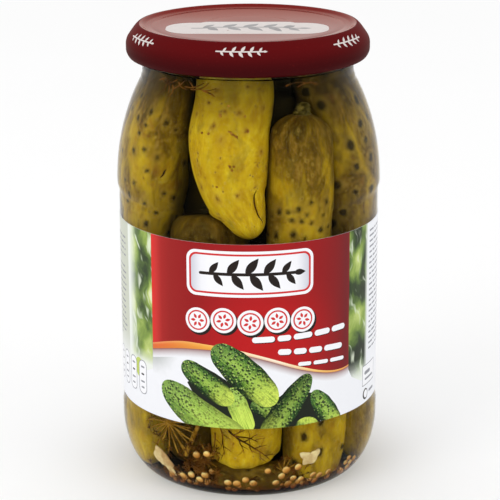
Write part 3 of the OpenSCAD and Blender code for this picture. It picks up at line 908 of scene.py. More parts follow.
def gather(name, parts, mat, angle=None):
    V, F, n = [], [], 0
    for v_, f_ in parts:
        V.append(v_)
        F += [tuple(i + n for i in x) for x in f_]
        n += len(v_)
    V = np.concatenate(V)
    rho = np.hypot(V[:, 0], V[:, 1])
    lim = inner_r(np.clip(V[:, 2], LOW, 160)) - 0.15
    k_ = np.where(rho > lim, lim / np.maximum(rho, 1e-6), 1)
    V[:, 0] *= k_
    V[:, 1] *= k_
    V[:, 2] = np.maximum(V[:, 2], floor_z(np.hypot(V[:, 0], V[:, 1])) + 0.1)
    ob = make(name, V, F, [mat], angle=angle)
    rho = np.hypot(V[:, 0], V[:, 1])
    # painted shade value that grows with the distance from the glass
    attribute(ob, "deep", smooth(2.5, 16.0, inner_r(np.clip(V[:, 2], LOW, 160)) - rho))
    return ob


def on_wall(phi, z, gap):
    """A point in the brine, a gap away from the glass."""
    r = float(inner_r(z)) - gap
    a = math.radians(phi)
    return np.array([r * math.sin(a), -r * math.cos(a), z])


rng = np.random.default_rng(5)
dill, twigs = [], []


def umbel(phi, z, gap, n, size, stem_to, seed, spread=(0, 360)):
    """A dill head seen open towards the glass: rays from one point, each with a small tuft."""
    g = np.random.default_rng(seed)
    c = on_wall(phi, z, gap)
    for i in range(n):
        a = math.radians(spread[0] + (spread[1] - spread[0]) * (i + g.uniform(-0.3, 0.3)) / n)
        ln = size * g.uniform(0.65, 1.1)
        e = on_wall(phi + math.degrees(ln * math.cos(a) / 43), z + ln * math.sin(a), gap + g.uniform(-1.2, 1.6))
        mid = (c + e) / 2 + g.normal(0, 0.5, 3)
        q = np.linspace(0, 1, 7)[:, None]
        pts = (1 - q) ** 2 * c + 2 * q * (1 - q) * mid + q * q * e
        dill.append(tube(pts, np.linspace(0.34, 0.22, 7), 5))
        for _ in range(6):
            d = g.normal(0, 1, 3)
            d /= np.linalg.norm(d)
            tip = e + d * g.uniform(1.2, 2.4)
            twigs.append(tube(np.linspace(e, tip, 4) + g.normal(0, 0.08, (4, 3)), 0.13, 4))
    if stem_to is not None:
        s = np.array(stem_to)
        q = np.linspace(0, 1, 10)[:, None]
        dill.append(tube((1 - q) * c + q * s + np.sin(q * pi) * np.array([[0.6, 0.4, 0]]), np.linspace(0.7, 1.0, 10), 8))


def frond(start, heading, length, seed, gap=1.2, r0=0.33, order=0):
    """A branching feathery dill leaf that lies just behind the glass. start is (phi, z), heading in degrees in the wall's own plane."""
    g = np.random.default_rng(seed)
    pts, a = [], math.radians(heading)
    phi, z = start
    n = max(int(length / 1.1), 4)
    here = []
    for i in range(n):
        here.append((phi, z))
        pts.append(on_wall(phi, z, gap + 0.25 * math.sin(i * 0.7)))
        phi += math.degrees(1.1 * math.cos(a) / 43)
        z += 1.1 * math.sin(a)
        a += g.normal(0, 0.10)
    twigs.append(tube(pts, np.linspace(r0, r0 * 0.45, n), 5))
    if order < 2:
        for i in range(2, n - 1, 2 if order == 0 else 2):
            side = 1 if (i // 2) % 2 else -1
            frond(here[i], math.degrees(a) + side * g.uniform(28, 55), length * g.uniform(0.28, 0.5) * (1 - 0.5 * i / n), seed * 7 + i * 3 + order, gap, r0 * 0.6, order + 1)


umbel(-40.5, 26.6, 1.5, 30, 11.5, None, 3)
umbel(-22.0, 15.5, 3.0, 14, 6.0, None, 4)
umbel(17.0, 11.0, 3.2, 12, 5.0, None, 6)
umbel(140.0, 20.0, 2.2, 16, 9.0, (20.0, 30.0, 10.0), 7)
umbel(215.0, 14.0, 2.6, 12, 7.0, None, 8)
q = np.linspace(0, 1, 12)[:, None]
dill.append(tube((1 - q) * np.array([-17.6, -37.6, 27.5]) + q * np.array([-21.6, -34.6, 15.5]), np.linspace(0.75, 0.85, 12), 8))
frond((-9.6, 27.6), -46, 19, 12, 0.4, 0.36)
frond((-13.2, 28.2), -72, 11, 15, 0.4, 0.28, 1)
frond((-6.2, 25.6), -14, 9, 17, 0.4, 0.28, 1)
frond((-15.8, 26.4), -88, 9, 18, 0.5, 0.28, 1)
frond((150, 130), -95, 16, 21, 1.2)
frond((186, 24), -70, 14, 22, 1.2)
# threads of dill that float under the neck: (phi, z) along each
for i, way in enumerate([
    [(-57.0, 147.6), (-52.0, 148.6), (-46.0, 147.9)], [(-49.5, 148.9), (-51.0, 145.8), (-54.5, 142.6)], [(-44.0, 145.6), (-40.5, 147.2), (-36.0, 149.6)],
    [(-45.5, 146.8), (-44.5, 144.8), (-46.0, 142.9)], [(-36.5, 147.2), (-30.5, 147.4), (-24.5, 149.2)], [(-32.5, 146.4), (-26.0, 147.2), (-21.5, 149.8)],
    [(-28.0, 147.0), (-23.0, 146.4), (-17.5, 147.6)], [(-51.5, 149.2), (-48.5, 146.6), (-47.5, 143.8)], [(-55.0, 149.0), (-50.0, 147.3), (-42.0, 149.2)],
    [(-41.0, 148.4), (-38.5, 146.6), (-34.5, 146.2)], [(-34.0, 149.4), (-31.5, 147.6), (-31.0, 145.4)], [(-25.0, 146.2), (-21.0, 145.6), (-18.0, 144.6)],
    [(21.0, 148.2), (27.0, 149.0), (34.0, 148.4)], [(28.0, 147.4), (34.0, 148.4), (41.0, 147.8)], [(36.0, 148.8), (41.0, 147.4), (46.0, 148.4)], [(148.0, 148.0), (154.0, 146.0), (159.0, 147.8)],
    [(203.0, 147.6), (208.0, 146.0), (212.0, 143.0)],
]):
    q = np.linspace(0, 1, 12)
    flat_way = np.outer((1 - q) ** 2, way[0]) + np.outer(2 * q * (1 - q), 2 * np.array(way[1]) - 0.5 * (np.array(way[0]) + np.array(way[2]))) + np.outer(q * q, way[2])
    twigs.append(tube([on_wall(ph_, min(z_, 149.4), 0.34 + 0.2 * math.sin(3 * t_ + i)) for (ph_, z_), t_ in zip(flat_way, q)], np.interp(q, [0, 0.5, 1], [0.30, 0.24, 0.12]), 6))


def tuft(c, size, n, seed):
    """A small bristly dill flower."""
    g_ = np.random.default_rng(seed)
    for _ in range(n):
        d = g_.normal(0, 1, 3)
        d /= np.linalg.norm(d)
        tip_ = c + d * size * g_.uniform(0.6, 1.1)
        twigs.append(tube(np.linspace(c, tip_, 4) + g_.normal(0, 0.10, (4, 3)), [0.2, 0.16, 0.14, 0.2], 4))


for i in range(92):
    g0 = np.random.default_rng(300 + i)
    phi = g0.uniform(-50, 36) if i < 70 else g0.uniform(40, 320)
    z = 5.0 + abs(g0.normal(0, 3.6)) + (5.0 if -34 < phi < -14 and i % 3 == 0 else 0.0)
    if -12 < phi < 14 and z > 9.5:
        z = g0.uniform(5, 9)
    tuft(on_wall(phi, min(z, 20.0), g0.uniform(0.8, 3.0)), g0.uniform(1.5, 2.6), 14, 500 + i)
for i in range(20):  # husks that fill the gap left of the front pickle
    g0 = np.random.default_rng(700 + i)
    tuft(on_wall(g0.uniform(-29, -18), g0.uniform(10, 20), g0.uniform(0.8, 2.6)), g0.uniform(1.4, 2.3), 13, 800 + i)
DILL = mat_plant("dill_stalk", srgb(136, 98, 34), srgb(196, 156, 78))
TWIG = mat_plant("dill_leaf", srgb(62, 34, 15), srgb(142, 92, 44))
dill_ob = gather("dill_stalks", dill, DILL)
twig_ob = gather("dill_leaves", twigs, TWIG)

# seeds
bv, bf = ball(2)
seeds, seed_light, taken = [], [], []
# painted light and shade: each seed's colour follows how its surface faces the fixed direction sun
sun = np.array([-0.45, -0.45, 0.77])


def seed_at(p, r, g):
    if any(np.linalg.norm(np.asarray(p) - q_) < 0.92 * (r + w_) for q_, w_ in taken):
        return
    taken.append((np.asarray(p), r))
    sc = np.array([1, g.uniform(0.88, 1.0), g.uniform(0.85, 1.0)])
    a = g.uniform(0, 6.28)
    rot = np.array([[math.cos(a), -math.sin(a), 0], [math.sin(a), math.cos(a), 0], [0, 0, 1]])
    seeds.append(((bv * sc * r) @ rot.T + np.asarray(p), bf))
    seed_light.append(np.clip(0.5 + 0.5 * (bv @ rot.T) @ sun, 0, 1) + g.uniform(-0.10, 0.10))


g = np.random.default_rng(77)
marks = [(-18.3, -39.2, 17.1), (-14.8, -40.7, 18.0), (-7.6, -39.6, 7.2), (-4.5, -39.9, 7.0), (-1.5, -40.6, 8.6), (1.2, -40.2, 7.2), (-6.0, -38.4, 5.9), (6.2, -41.6, 12.1), (12.5, -40.2, 11.9),
         (16.6, -38.8, 12.4), (14.9, -38.0, 8.1), (13.2, -37.4, 6.0), (17.4, -36.0, 7.2), (22.0, -35.0, 8.0), (11.0, -40.4, 9.6), (-17.3, -36.4, 7.2), (-20.0, -35.0, 8.6),
         (-23.0, -33.0, 7.4), (-15.4, -38.0, 9.4), (27.0, -30.0, 7.4), (24.0, -32.6, 7.0), (-26.6, -29.4, 6.8), (9.0, -39.6, 7.0)]
for p in marks:
    seed_at(p, g.uniform(1.2, 1.5), g)
for i in range(300):  # the rest lie in the rounded corner of the base, all the way round
    phi = g.uniform(0, 360)
    z = 4.4 + abs(g.normal(0, 2.0))
    if -12 < ((phi + 180) % 360 - 180) < 10 and z > 10 or -95 < (phi + 180) % 360 - 180 < -47:
        continue
    seed_at(on_wall(phi, min(z, 15.0), 1.2 + abs(g.normal(0, 0.9))), g.uniform(1.0, 1.35), g)


def mat_seed():
    b = Nodes("mustard_seed")
    p = b.place()
    n = b.noise(p, 330.0, 3.0, 0.6)
    # painted light and shade: the attribute lit runs each point's colour from dark to a painted highlight
    lit = b.m("ADD", b.attr("lit"), b.m("MULTIPLY", b.m("SUBTRACT", n, 0.5), 0.35))
    col = b.ramp(lit, [(0.0, srgb(84, 44, 20)), (0.35, srgb(160, 102, 54)), (0.62, srgb(222, 162, 104)), (0.86, srgb(246, 204, 160)), (0.97, srgb(255, 238, 216))])
    col = b.mix(b.m("MULTIPLY", b.step(b.noise(p, 150.0, 1.0), 0.52, 0.64), 0.5), col, srgb(150, 90, 40))
    col = b.mix(1.0, col, b.mix(b.attr("deep"), (1, 1, 1), (0.25, 0.18, 0.1)), "MULTIPLY")
    nrm = b.bump(b.noise(p, 1400.0, 2.0), 0.4, 0.06)
    s = b.principled(Base_Color=col, Roughness=0.3, Specular_IOR_Level=0.5, Normal=nrm)
    return b.finish(s.outputs[0])


seeds_ob = gather("mustard_seeds", seeds, mat_seed())
attribute(seeds_ob, "lit", np.concatenate(seed_light))

# the dark crumbly bed that the seeds lie on
bed_th, bed_t = 2 * pi * np.arange(220) / 220, np.linspace(0, 1, 15)
BT, BQ = np.meshgrid(bed_th, bed_t)
gb = np.random.default_rng(88)
rough_ = sum(np.cos(k_ * BT + 9 * BQ * gb.uniform(-1, 1) + gb.uniform(0, 6.28)) / k_**0.4 for k_ in (3, 5, 8, 13, 21, 34, 47, 71)) / 3.2
bed_top = 6.6 + 1.5 * rough_[0] + 2.2 * np.exp(-(((np.degrees(bed_th) - 338 + 180) % 360 - 180) / 12) ** 2) - 1.6 * np.exp(-(((np.degrees(bed_th) - 288 + 180) % 360 - 180) / 20) ** 2)
bed_top = np.maximum(bed_top, LOW + 1.0)
bz = np.where(BQ < 0.6, LOW + 0.4 + (bed_top - LOW) * (BQ / 0.6), bed_top - 1.2 * (BQ - 0.6))
by = np.where(BQ < 0.6, inner_r(bz) - 3.0 + 0.7 * rough_ + gb.normal(0, 0.16, BT.shape), (inner_r(bed_top) - 3.6)[None, :] * (1 - (BQ - 0.6) / 0.4 * 0.55))
bed_v = np.stack([by * np.sin(BT), -by * np.cos(BT), bz + gb.normal(0, 0.12, BT.shape)], -1).reshape(-1, 3)
bed_f = [(q_ * 220 + i, q_ * 220 + (i + 1) % 220, (q_ + 1) * 220 + (i + 1) % 220, (q_ + 1) * 220 + i) for q_ in range(14) for i in range(220)]
BED = mat_plant("seed_bed", srgb(34, 17, 7), srgb(104, 64, 26), 420.0)
bed_ob = gather("seed_bed", [(bed_v, bed_f)], BED)

# garlic: pale slivers with a torn edge
gv, gf = ball(4)


def garlic(c, along, size, seed):
    g_ = np.random.default_rng(seed)
    V = gv.copy()
    n = np.zeros(len(V))
    for _ in range(7):
        d = g_.normal(0, 1, 3)
        d /= np.linalg.norm(d)
        n += np.cos(V @ d * g_.uniform(2, 6) + g_.uniform(0, 6)) * 0.07
    V = V * (1 + n[:, None])
    V = np.sign(V) * np.abs(V) ** 0.85 * np.array(size)
    out_ = np.array([c[0], c[1], 0.0])
    out_ /= np.linalg.norm(out_)
    a = np.array(along, float)
    a -= (a @ out_) * out_
    a /= np.linalg.norm(a)
    bb = np.cross(out_, a)
    return V @ np.stack([bb, out_, a]) + np.array(c), gf


sv, sf = ball(5)


def slab(outline, phi, z, gap, thick, seed):
    """A flat torn piece that lies along the glass. outline: (along the wall, up) round its middle."""
    g_ = np.random.default_rng(seed)
    o = np.array(outline)
    ang = np.arctan2(o[:, 1], o[:, 0])
    order = np.argsort(ang)
    ang, far_ = ang[order], np.hypot(o[:, 0], o[:, 1])[order]
    ang = np.concatenate([ang[-1:] - 2 * pi, ang, ang[:1] + 2 * pi])
    far_ = np.concatenate([far_[-1:], far_, far_[:1]])
    th_ = np.arctan2(sv[:, 2], sv[:, 0])
    rad = np.hypot(sv[:, 0], sv[:, 2])
    reach_ = np.interp(th_, ang, far_) * rad**0.8
    bump_ = 1 + 0.10 * np.cos(5 * th_ + 1) * rad + 0.05 * np.cos(11 * th_)
    x, up = reach_ * np.cos(th_), reach_ * np.sin(th_)
    y = thick * np.sign(sv[:, 1]) * np.abs(sv[:, 1]) ** 0.55 * bump_ + 0.12 * np.sin(1.3 * x + 1.7 * up + seed)
    zz = z + up
    r_ = inner_r(zz) - gap + y
    a_ = math.radians(phi) + x / 43.0
    return np.stack([r_ * np.sin(a_), -r_ * np.cos(a_), zz], 1), sf


garlics = [
    slab([(-2.9, 5.2), (-1.0, 4.7), (1.5, 3.1), (3.0, 1.3), (4.4, -0.7), (3.7, -2.0), (3.9, -5.2), (2.2, -4.4), (0.2, -1.9), (-2.2, -1.1), (-4.5, 0.4), (-5.0, 1.6), (-3.5, 3.2)], -44.9, 11.4, 0.8, 0.80, 1),
    slab([(-4.1, 2.3), (-1.4, 1.9), (0.1, 1.4), (1.6, 2.0), (3.5, 2.5), (3.9, 1.6), (3.0, -0.2), (1.6, -2.8), (-0.6, -2.4), (-2.5, -2.6), (-2.6, -0.4)], 28.8, 15.6, 0.75, 0.55, 2),
    garlic(on_wall(165, 12, 1.8), (1, 0, 0.4), (2.2, 1.2, 4.2), 4),
    garlic(on_wall(230, 18, 1.8), (0, 1, 1), (2.0, 1.2, 4.0), 5),
]
GARLIC = mat_plant("garlic_flesh", srgb(196, 160, 146), srgb(250, 240, 246), 170.0)
garlic_ob = gather("garlic_pieces", garlics, GARLIC)

# small dark scars: a curved crack near the bright pickle's tip and a nick on the left one; and the stalk of the centre-right one
scars = []


def on_pickle(k, s, ang, up=0.0):
    P_ = np.array([np.interp(s, k["t"], k["P"][:, i]) for i in range(3)])
    N_ = np.array([np.interp(s, k["t"], k["N"][:, i]) for i in range(3)])
    B_ = np.array([np.interp(s, k["t"], k["B"][:, i]) for i in range(3)])
    R_ = float(np.interp(s, k["t"], k["R"]))
    return P_ + (N_ * math.cos(ang) + B_ * math.sin(ang)) * (R_ + up)


crack = [on_pickle(P2, s_, a_, 0.02) for s_, a_ in zip(
    np.interp(np.linspace(0, 1, 14), np.linspace(0, 1, 7), [0.05, 0.075, 0.10, 0.13, 0.16, 0.19, 0.215]),
    np.interp(np.linspace(0, 1, 14), np.linspace(0, 1, 7), [1.38, 1.20, 1.04, 0.95, 0.94, 1.02, 1.16]))]
scars.append(tube(crack, 0.20 * np.sin(np.linspace(0.25, pi - 0.25, 14)) + 0.06, 6))
nick = [on_pickle(P1, s_, a_, 0.02) for s_, a_ in ((0.478, 1.57), (0.466, 1.53), (0.454, 1.52), (0.442, 1.48), (0.432, 1.42))]
scars.append(tube(nick, [0.10, 0.28, 0.34, 0.24, 0.10], 6))
marks_red = []
for way in ([(0.560, 0.16), (0.552, 0.24), (0.545, 0.26), (0.538, 0.36)], [(0.534, 0.34), (0.530, 0.42), (0.522, 0.44)], [(0.585, 0.66), (0.574, 0.70), (0.560, 0.69)],
            [(0.556, -0.62), (0.552, -0.56)], [(0.546, -0.40), (0.552, -0.34)], [(0.41, 0.16), (0.402, 0.22), (0.392, 0.20)], [(0.405, 0.30), (0.395, 0.35)],
            [(0.375, 0.24), (0.37, 0.30)], [(0.70, 0.02), (0.694, 0.08)], [(0.64, -0.18), (0.632, -0.12), (0.626, -0.14)], [(0.30, -0.30), (0.292, -0.22)], [(0.66, 0.52), (0.65, 0.55)]):
    line_ = catmull([on_pickle(P2, s_, a_, 0.0) for s_, a_ in way], np.linspace(0, 1, 10))
    marks_red.append(tube(line_, 0.12 + 0.30 * np.sin(np.linspace(0.2, pi - 0.2, 10)) * (1 + 0.3 * np.sin(np.arange(10) * 2.3)), 6))
SKIN_MARK = mat_plant("skin_mark", srgb(122, 74, 40), srgb(178, 128, 64), 700.0)
mark_ob = gather("pickle_marks", marks_red, SKIN_MARK)
SCAR = mat_plant("dark_scar", srgb(48, 22, 10), srgb(84, 44, 18))
scar_ob = gather("pickle_scars", scars, SCAR)
g = np.random.default_rng(9)
end, dirn = P3["P"][-1], P3["P"][-1] - P3["P"][-6]
dirn = dirn / np.linalg.norm(dirn)
nub_pts = [end + dirn * h + np.array([0.25 * math.sin(h), -0.15 * h, 0]) for h in np.linspace(-1.8, 3.3, 17)]
nub_r = np.interp(np.linspace(-1.8, 3.3, 17), [-1.8, -0.9, 0.1, 0.9, 1.8, 2.6, 3.1, 3.3], [3.8, 3.2, 2.7, 2.3, 2.2, 2.4, 2.1, 1.4])
nv, nf = tube(nub_pts, nub_r, 28)
axis_ = np.array([end + dirn * ((q_ - end) @ dirn) for q_ in nv])
lump = np.zeros(len(nv))
for _ in range(9):
    d = g.normal(0, 1, 3)
    lump += np.cos(nv @ (d / np.linalg.norm(d)) * g.uniform(2.5, 7.0) + g.uniform(0, 6)) * 0.06
nv = axis_ + (nv - axis_) * (1 + lump)[:, None]
STALK = mat_plant("pickle_stalk", srgb(52, 46, 22), srgb(122, 110, 66), 620.0)
nub = gather("pickle_stalk", [(nv, nf)], STALK)


# ---------------------------------------------------------------- flat artwork helpers
def ccw(p):
    a = sum(p[i][0] * p[(i + 1) % len(p)][1] - p[(i + 1) % len(p)][0] * p[i][1] for i in range(len(p)))
    return list(p) if a > 0 else list(reversed(p))


def cut(polys, lines):
    """Splits the plane by the outlines and lines. Returns points, triangles, and for each triangle the outlines it lies in."""
    verts, edges, faces = [], [], []
    for p in polys:
        p = ccw(p)
        faces.append(list(range(len(verts), len(verts) + len(p))))
        verts += [Vector(q_) for q_ in p]
    for a, c in lines:
        edges.append((len(verts), len(verts) + 1))
        verts += [Vector(a), Vector(c)]
    out_ = delaunay_2d_cdt(verts, edges, faces, 0, 1e-5, True)
    return [tuple(q_) for q_ in out_[0]], out_[2], out_[5]


def ellipse(cx, cy, rx, ry, ang=0.0, n=28, power=1.0):
    a = math.radians(ang)
    pts = []
    for i in range(n):
        th_ = 2 * pi * i / n
        x, y = rx * math.copysign(abs(math.cos(th_)) ** power, math.cos(th_)), ry * math.copysign(abs(math.sin(th_)) ** power, math.sin(th_))
        pts.append((cx + x * math.cos(a) - y * math.sin(a), cy + x * math.sin(a) + y * math.cos(a)))
    return pts


def leaf(x, y, ln, w, ang, n=9):
    """A pointed leaf from its foot at (x, y)."""
    a = math.radians(ang)
    side = [(ln * i / n, w * math.sin(pi * (i / n) ** 0.85)) for i in range(n + 1)]
    pts = side + [(px, -py) for px, py in reversed(side[1:-1])]
    return [(x + px * math.cos(a) - py * math.sin(a), y + px * math.sin(a) + py * math.cos(a)) for px, py in pts]


def bar(x0, y0, x1, y1, w, n=6):
    """A bar with round ends."""
    a = math.atan2(y1 - y0, x1 - x0)
    pts = [(x1 + w * math.cos(a - pi / 2 + pi * i / n), y1 + w * math.sin(a - pi / 2 + pi * i / n)) for i in range(n + 1)]
    pts += [(x0 + w * math.cos(a + pi / 2 + pi * i / n), y0 + w * math.sin(a + pi / 2 + pi * i / n)) for i in range(n + 1)]
    return pts


def plaque(cx, cy, hw, hh, r, n=8):
    """A plain rectangle with round corners."""
    pts = []
    for sx, sy, a0 in ((1, 1, 0), (-1, 1, 90), (-1, -1, 180), (1, -1, 270)):
        for i in range(n + 1):
            a = math.radians(a0 + 90 * i / n)
            pts.append((cx + sx * (hw - r) + r * math.cos(a), cy + sy * (hh - r) + r * math.sin(a)))
    return pts


def sprig(cx, cy, hw, hh, thick):
    """A plain sprig: a stem with pairs of leaves, the leaves larger in the middle. Gives outlines."""
    out_ = [bar(cx - hw, cy, cx + hw, cy, thick)]
    n = 5
    for i in range(n):
        q_ = (i + 0.5) / n
        x = cx - hw + 2 * hw * q_ * 0.93
        ln = hh * (0.75 + 0.45 * math.sin(pi * q_))
        out_.append(leaf(x, cy, ln * 1.25, ln * 0.26, 52))
        out_.append(leaf(x + hw * 0.09, cy, ln * 1.25, ln * 0.26, -52))
    out_.append(leaf(cx + hw * 0.92, cy, hh * 0.9, hh * 0.22, 0))
    return out_


# ---------------------------------------------------------------- label
ART_R = PANEL_R + PAPER
HALF = pi * ART_R * (360 + OVERLAP) / 360
Z0, Z1 = LABEL_Z0, LABEL_Z0 + LABEL_H
M = {}
label_mats = []


def mat_slot(name, mat):
    M[name] = len(label_mats)
    label_mats.append(mat)


mat_slot("white", mat_paper("paper_white", srgb(238, 239, 243), srgb(226, 228, 234)))
mat_slot("red", mat_red())
mat_slot("band", mat_band())
mat_slot("shade", mat_fade("print_shade", srgb(132, 66, 56), srgb(236, 237, 241), 0.7))
mat_slot("green_haze", mat_fade("print_green_haze", srgb(84, 98, 68), srgb(236, 237, 241), 0.8))
mat_slot("blur", mat_blur())
mat_slot("dark", mat_paper("print_dark", srgb(12, 16, 8), srgb(24, 34, 14), 0.9))
mat_slot("cuc", mat_cucumber())
mat_slot("ink_black", mat_paper("print_black", srgb(26, 16, 12), srgb(34, 22, 18)))
mat_slot("ink_white", mat_paper("print_white", srgb(242, 242, 245), srgb(232, 233, 238), 0.3))
mat_slot("ink_red", mat_paper("print_line_red", srgb(206, 44, 44), srgb(190, 34, 38)))
mat_slot("ink_grey", mat_paper("print_grey", srgb(140, 142, 148), srgb(122, 124, 132)))
mat_slot("plaque", mat_fade("print_plaque", srgb(196, 198, 210), srgb(240, 240, 244), 0.7))
mat_slot("lime", mat_paper("print_lime", srgb(190, 206, 96), srgb(170, 190, 70)))
mat_slot("side_panel", mat_fade("print_side_panel", srgb(196, 200, 184), srgb(234, 236, 236), 1.0))
mat_slot("green_dark", mat_paper("print_green", srgb(60, 104, 44), srgb(44, 84, 34)))

art = []  # (material, outline, along-and-across frame or None, kind), in drawing order


def draw(mat, outline, own=None, kind=0.0):
    art.append((mat, outline, own, kind))


def curve_pts(pts, n=60):
    q_ = catmull([(x, 0, y) for x, y in pts], np.linspace(0, 1, n))
    return [(float(a[0]), float(a[2])) for a in q_]


band_top = curve_pts([(-38.0, 56.3), (-30.0, 58.6), (-23.2, 59.8), (-13.8, 59.6), (-7.0, 58.9), (-1.1, 57.6), (7.2, 55.1), (16.9, 51.5), (26.0, 48.4), (32.0, 47.1), (37.0, 46.9), (39.6, 47.3)])
band_low = curve_pts([(-38.0, 54.1), (-30.0, 56.0), (-23.3, 57.2), (-13.8, 57.8), (-7.0, 57.4), (-1.1, 56.4), (7.2, 54.0), (16.9, 50.4), (26.0, 47.6), (32.0, 46.4), (37.0, 46.3), (39.6, 46.8)])

draw("white", [(-HALF, Z0), (HALF, Z0), (HALF, Z1), (-HALF, Z1)])
# soft green strips beside the red field, and the greyer panel outside the left one
draw("side_panel", [(-76.0, Z1), (-76.0, 41.5), (-50.0, 41.5), (-50.0, Z1)])
draw("blur", [(-54.0, Z1), (-54.0, 46.0), (-47.0, 42.5), (-38.0, 46.5), (-37.6, 57.0), (-37.6, Z1)])
draw("blur", [(39.2, Z1), (39.2, 46.0), (41.5, 42.0), (48.0, 38.5), (52.0, 40.5), (52.0, Z1)])
draw("green_haze", [(-38.2, 57.0), (-38.2, 44.5), (-31.0, 45.0), (-25.5, 50.5), (-25.5, 57.6)])
draw("shade", band_low + [(39.6, 43.6)] + [(x, y - 3.2) for x, y in reversed(band_low)] )
draw("red", [(-38.0, Z1)] + band_top + [(39.6, Z1)])
draw("band", band_top + list(reversed(band_low)))
# plaque with a sprig
draw("ink_white", plaque(0.4, 85.6, 22.6, 8.2, 3.4))
draw("ink_red", plaque(0.4, 85.6, 21.6, 7.2, 2.7))
draw("plaque", plaque(0.4, 85.6, 20.9, 6.5, 2.2))
for o in sprig(0.0, 85.6, 17.0, 4.9, 0.55):
    draw("ink_black", o)
# a row of cucumber slices with drop shadows
for i in range(5):
    cx, cy, r_ = -18.3 + 9.35 * i, 68.6 + (0.3 if i % 2 else -0.3), 4.55
    draw("ink_black", ellipse(cx + 0.65, cy - 0.75, r_ + 0.1, r_ + 0.1, n=36))
for i in range(5):
    cx, cy, r_ = -18.3 + 9.35 * i, 68.6 + (0.3 if i % 2 else -0.3), 4.55
    draw("ink_white", ellipse(cx, cy, r_, r_, n=36))
    draw("ink_red", ellipse(cx, cy, r_ * 0.80, r_ * 0.80, n=32))
    draw("ink_white", ellipse(cx, cy, r_ * 0.68, r_ * 0.68, n=32))
    for k_ in range(6):
        a = k_ * 60 + 12 * i
        draw("ink_red", leaf(cx + 0.7 * math.cos(math.radians(a)), cy + 0.7 * math.sin(math.radians(a)), 1.9, 0.5, a, 6))
# three rows of short bars
g = np.random.default_rng(31)
for x0, x1, y0, y1, w in ((2.0, 36.2, 62.0, 62.6, 1.05), (11.0, 37.0, 57.2, 55.6, 1.05), (18.0, 36.2, 52.0, 50.8, 0.7)):
    x = x0
    while x < x1 - 2.5:
        ln = min(g.uniform(2.6, 6.2), x1 - x)
        ya, yb = y0 + (y1 - y0) * (x - x0) / (x1 - x0), y0 + (y1 - y0) * (x + ln - x0) / (x1 - x0)
        draw("ink_black", bar(x + 0.25, ya - 0.28, x + ln + 0.25, yb - 0.28, w))
        draw("ink_white", bar(x, ya, x + ln, yb, w))
        x += ln + 2 * w + 0.9


def cucumber(ax, ay, bx, by, r0, r1, seed, kind=0.0, bow=0.0, dark=None):
    """An uneven printed cucumber from its stalk end (a) to its tip (b)."""
    g_ = np.random.default_rng(seed)
    ln = math.hypot(bx - ax, by - ay)
    d = ((bx - ax) / ln, (by - ay) / ln)
    n_ = (-d[1], d[0])
    tot = ln + r0 + r1
    ph = g_.uniform(0, 6.28, 3)

    def point(s_, side):
        x = -r0 + tot * s_
        w = (r0 + (r1 - r0) * s_) * (1 - abs(2 * s_ - 1) ** 3.4) ** 0.5
        w *= 1 + 0.035 * math.sin(9 * s_ + ph[0]) + 0.02 * math.sin(23 * s_ + ph[1] + side)
        off = bow * 4 * s_ * (1 - s_)
        return (ax + d[0] * x + n_[0] * (side * w + off), ay + d[1] * x + n_[1] * (side * w + off))

    ss = [0.5 - 0.5 * math.cos(pi * i / 22) for i in range(23)]
    pts = [point(s_, 1) for s_ in ss] + [point(s_, -1) for s_ in reversed(ss[1:-1])]
    own = (ax - d[0] * r0, ay - d[1] * r0, d, n_, tot, (r0 + r1) / 2, bow)
    draw(dark or "cuc", pts, own, kind)


draw("dark", [(-17.5, 52.0), (-12.0, 49.5), (-8.0, 47.0), (-4.0, 43.5), (0.0, 41.5), (6.0, 40.0), (10.6, 40.8), (13.0, 42.5), (17.5, 42.5), (21.0, 41.0), (25.2, 40.2), (26.5, 38.0), (25.8, 33.5), (26.5, 28.0),
              (-3.0, 28.0), (-7.0, 33.0), (-14.0, 38.0), (-19.5, 43.5)])
draw("dark", [(-17.0, 42.0), (-3.0, 40.0), (-1.5, 29.0), (-9.0, 28.5), (-17.0, 35.5)])
draw("dark", [(-22.6, 44.8), (-20.0, 47.0), (-16.0, 46.0), (-9.0, 38.5), (-13.0, 34.5), (-20.0, 40.5)])
cucumber(2.8, 37.6, 7.2, 34.6, 2.6, 2.4, 9, 0.6)
cucumber(20.2, 25.0, 20.6, 27.0, 4.9, 4.9, 8)
cucumber(24.9, 38.4, 31.6, 29.0, 3.3, 4.5, 7)
cucumber(-5.4, 41.5, -1.8, 31.6, 3.2, 4.0, 5, -0.9)
cucumber(-28.3, 39.2, -6.1, 24.6, 6.0, 7.0, 3, -0.4, 0.3)
cucumber(-20.9, 49.4, -9.1, 41.1, 4.3, 4.2, 2, 0.12)
cucumber(19.4, 44.3, 7.8, 29.0, 4.2, 5.0, 6, 0.75)
cucumber(-8.3, 55.2, 5.2, 42.3, 5.9, 5.7, 1, 0.0, 0.3)
# small marks on the sides
draw("lime", ellipse(-46.4, 44.6, 3.0, 3.8, 20))
for i in range(4):
    draw("ink_grey", plaque(-44.4 - 6.6 * i, 41.5, 2.5, 6.4, 2.2))
    draw("ink_white", plaque(-44.4 - 6.6 * i, 41.5, 2.2, 6.1, 2.0))
    for k_, (w, y) in enumerate(((1.2, 45.3), (0.9, 42.6), (1.3, 39.8), (1.0, 37.6))):
        draw("ink_grey" if k_ != 1 else "ink_black", bar(-44.4 - 6.6 * i - w * 0.7, y, -44.4 - 6.6 * i + w * 0.7, y, 0.33, 3))
draw("ink_grey", plaque(55.0, 39.6, 6.0, 3.9, 0.4))
draw("ink_white", plaque(55.0, 39.6, 5.7, 3.6, 0.3))
draw("ink_grey", bar(51.4, 40.4, 55.4, 40.4, 0.7, 4))
draw("ink_grey", bar(51.4, 38.0, 58.6, 38.0, 0.4, 4))
draw("ink_black", ellipse(51.6, 32.4, 2.1, 2.1))
draw("ink_white", ellipse(51.9, 32.4, 1.5, 1.5))
draw("ink_grey", bar(55.4, 32.6, 59.6, 32.6, 0.5, 3))


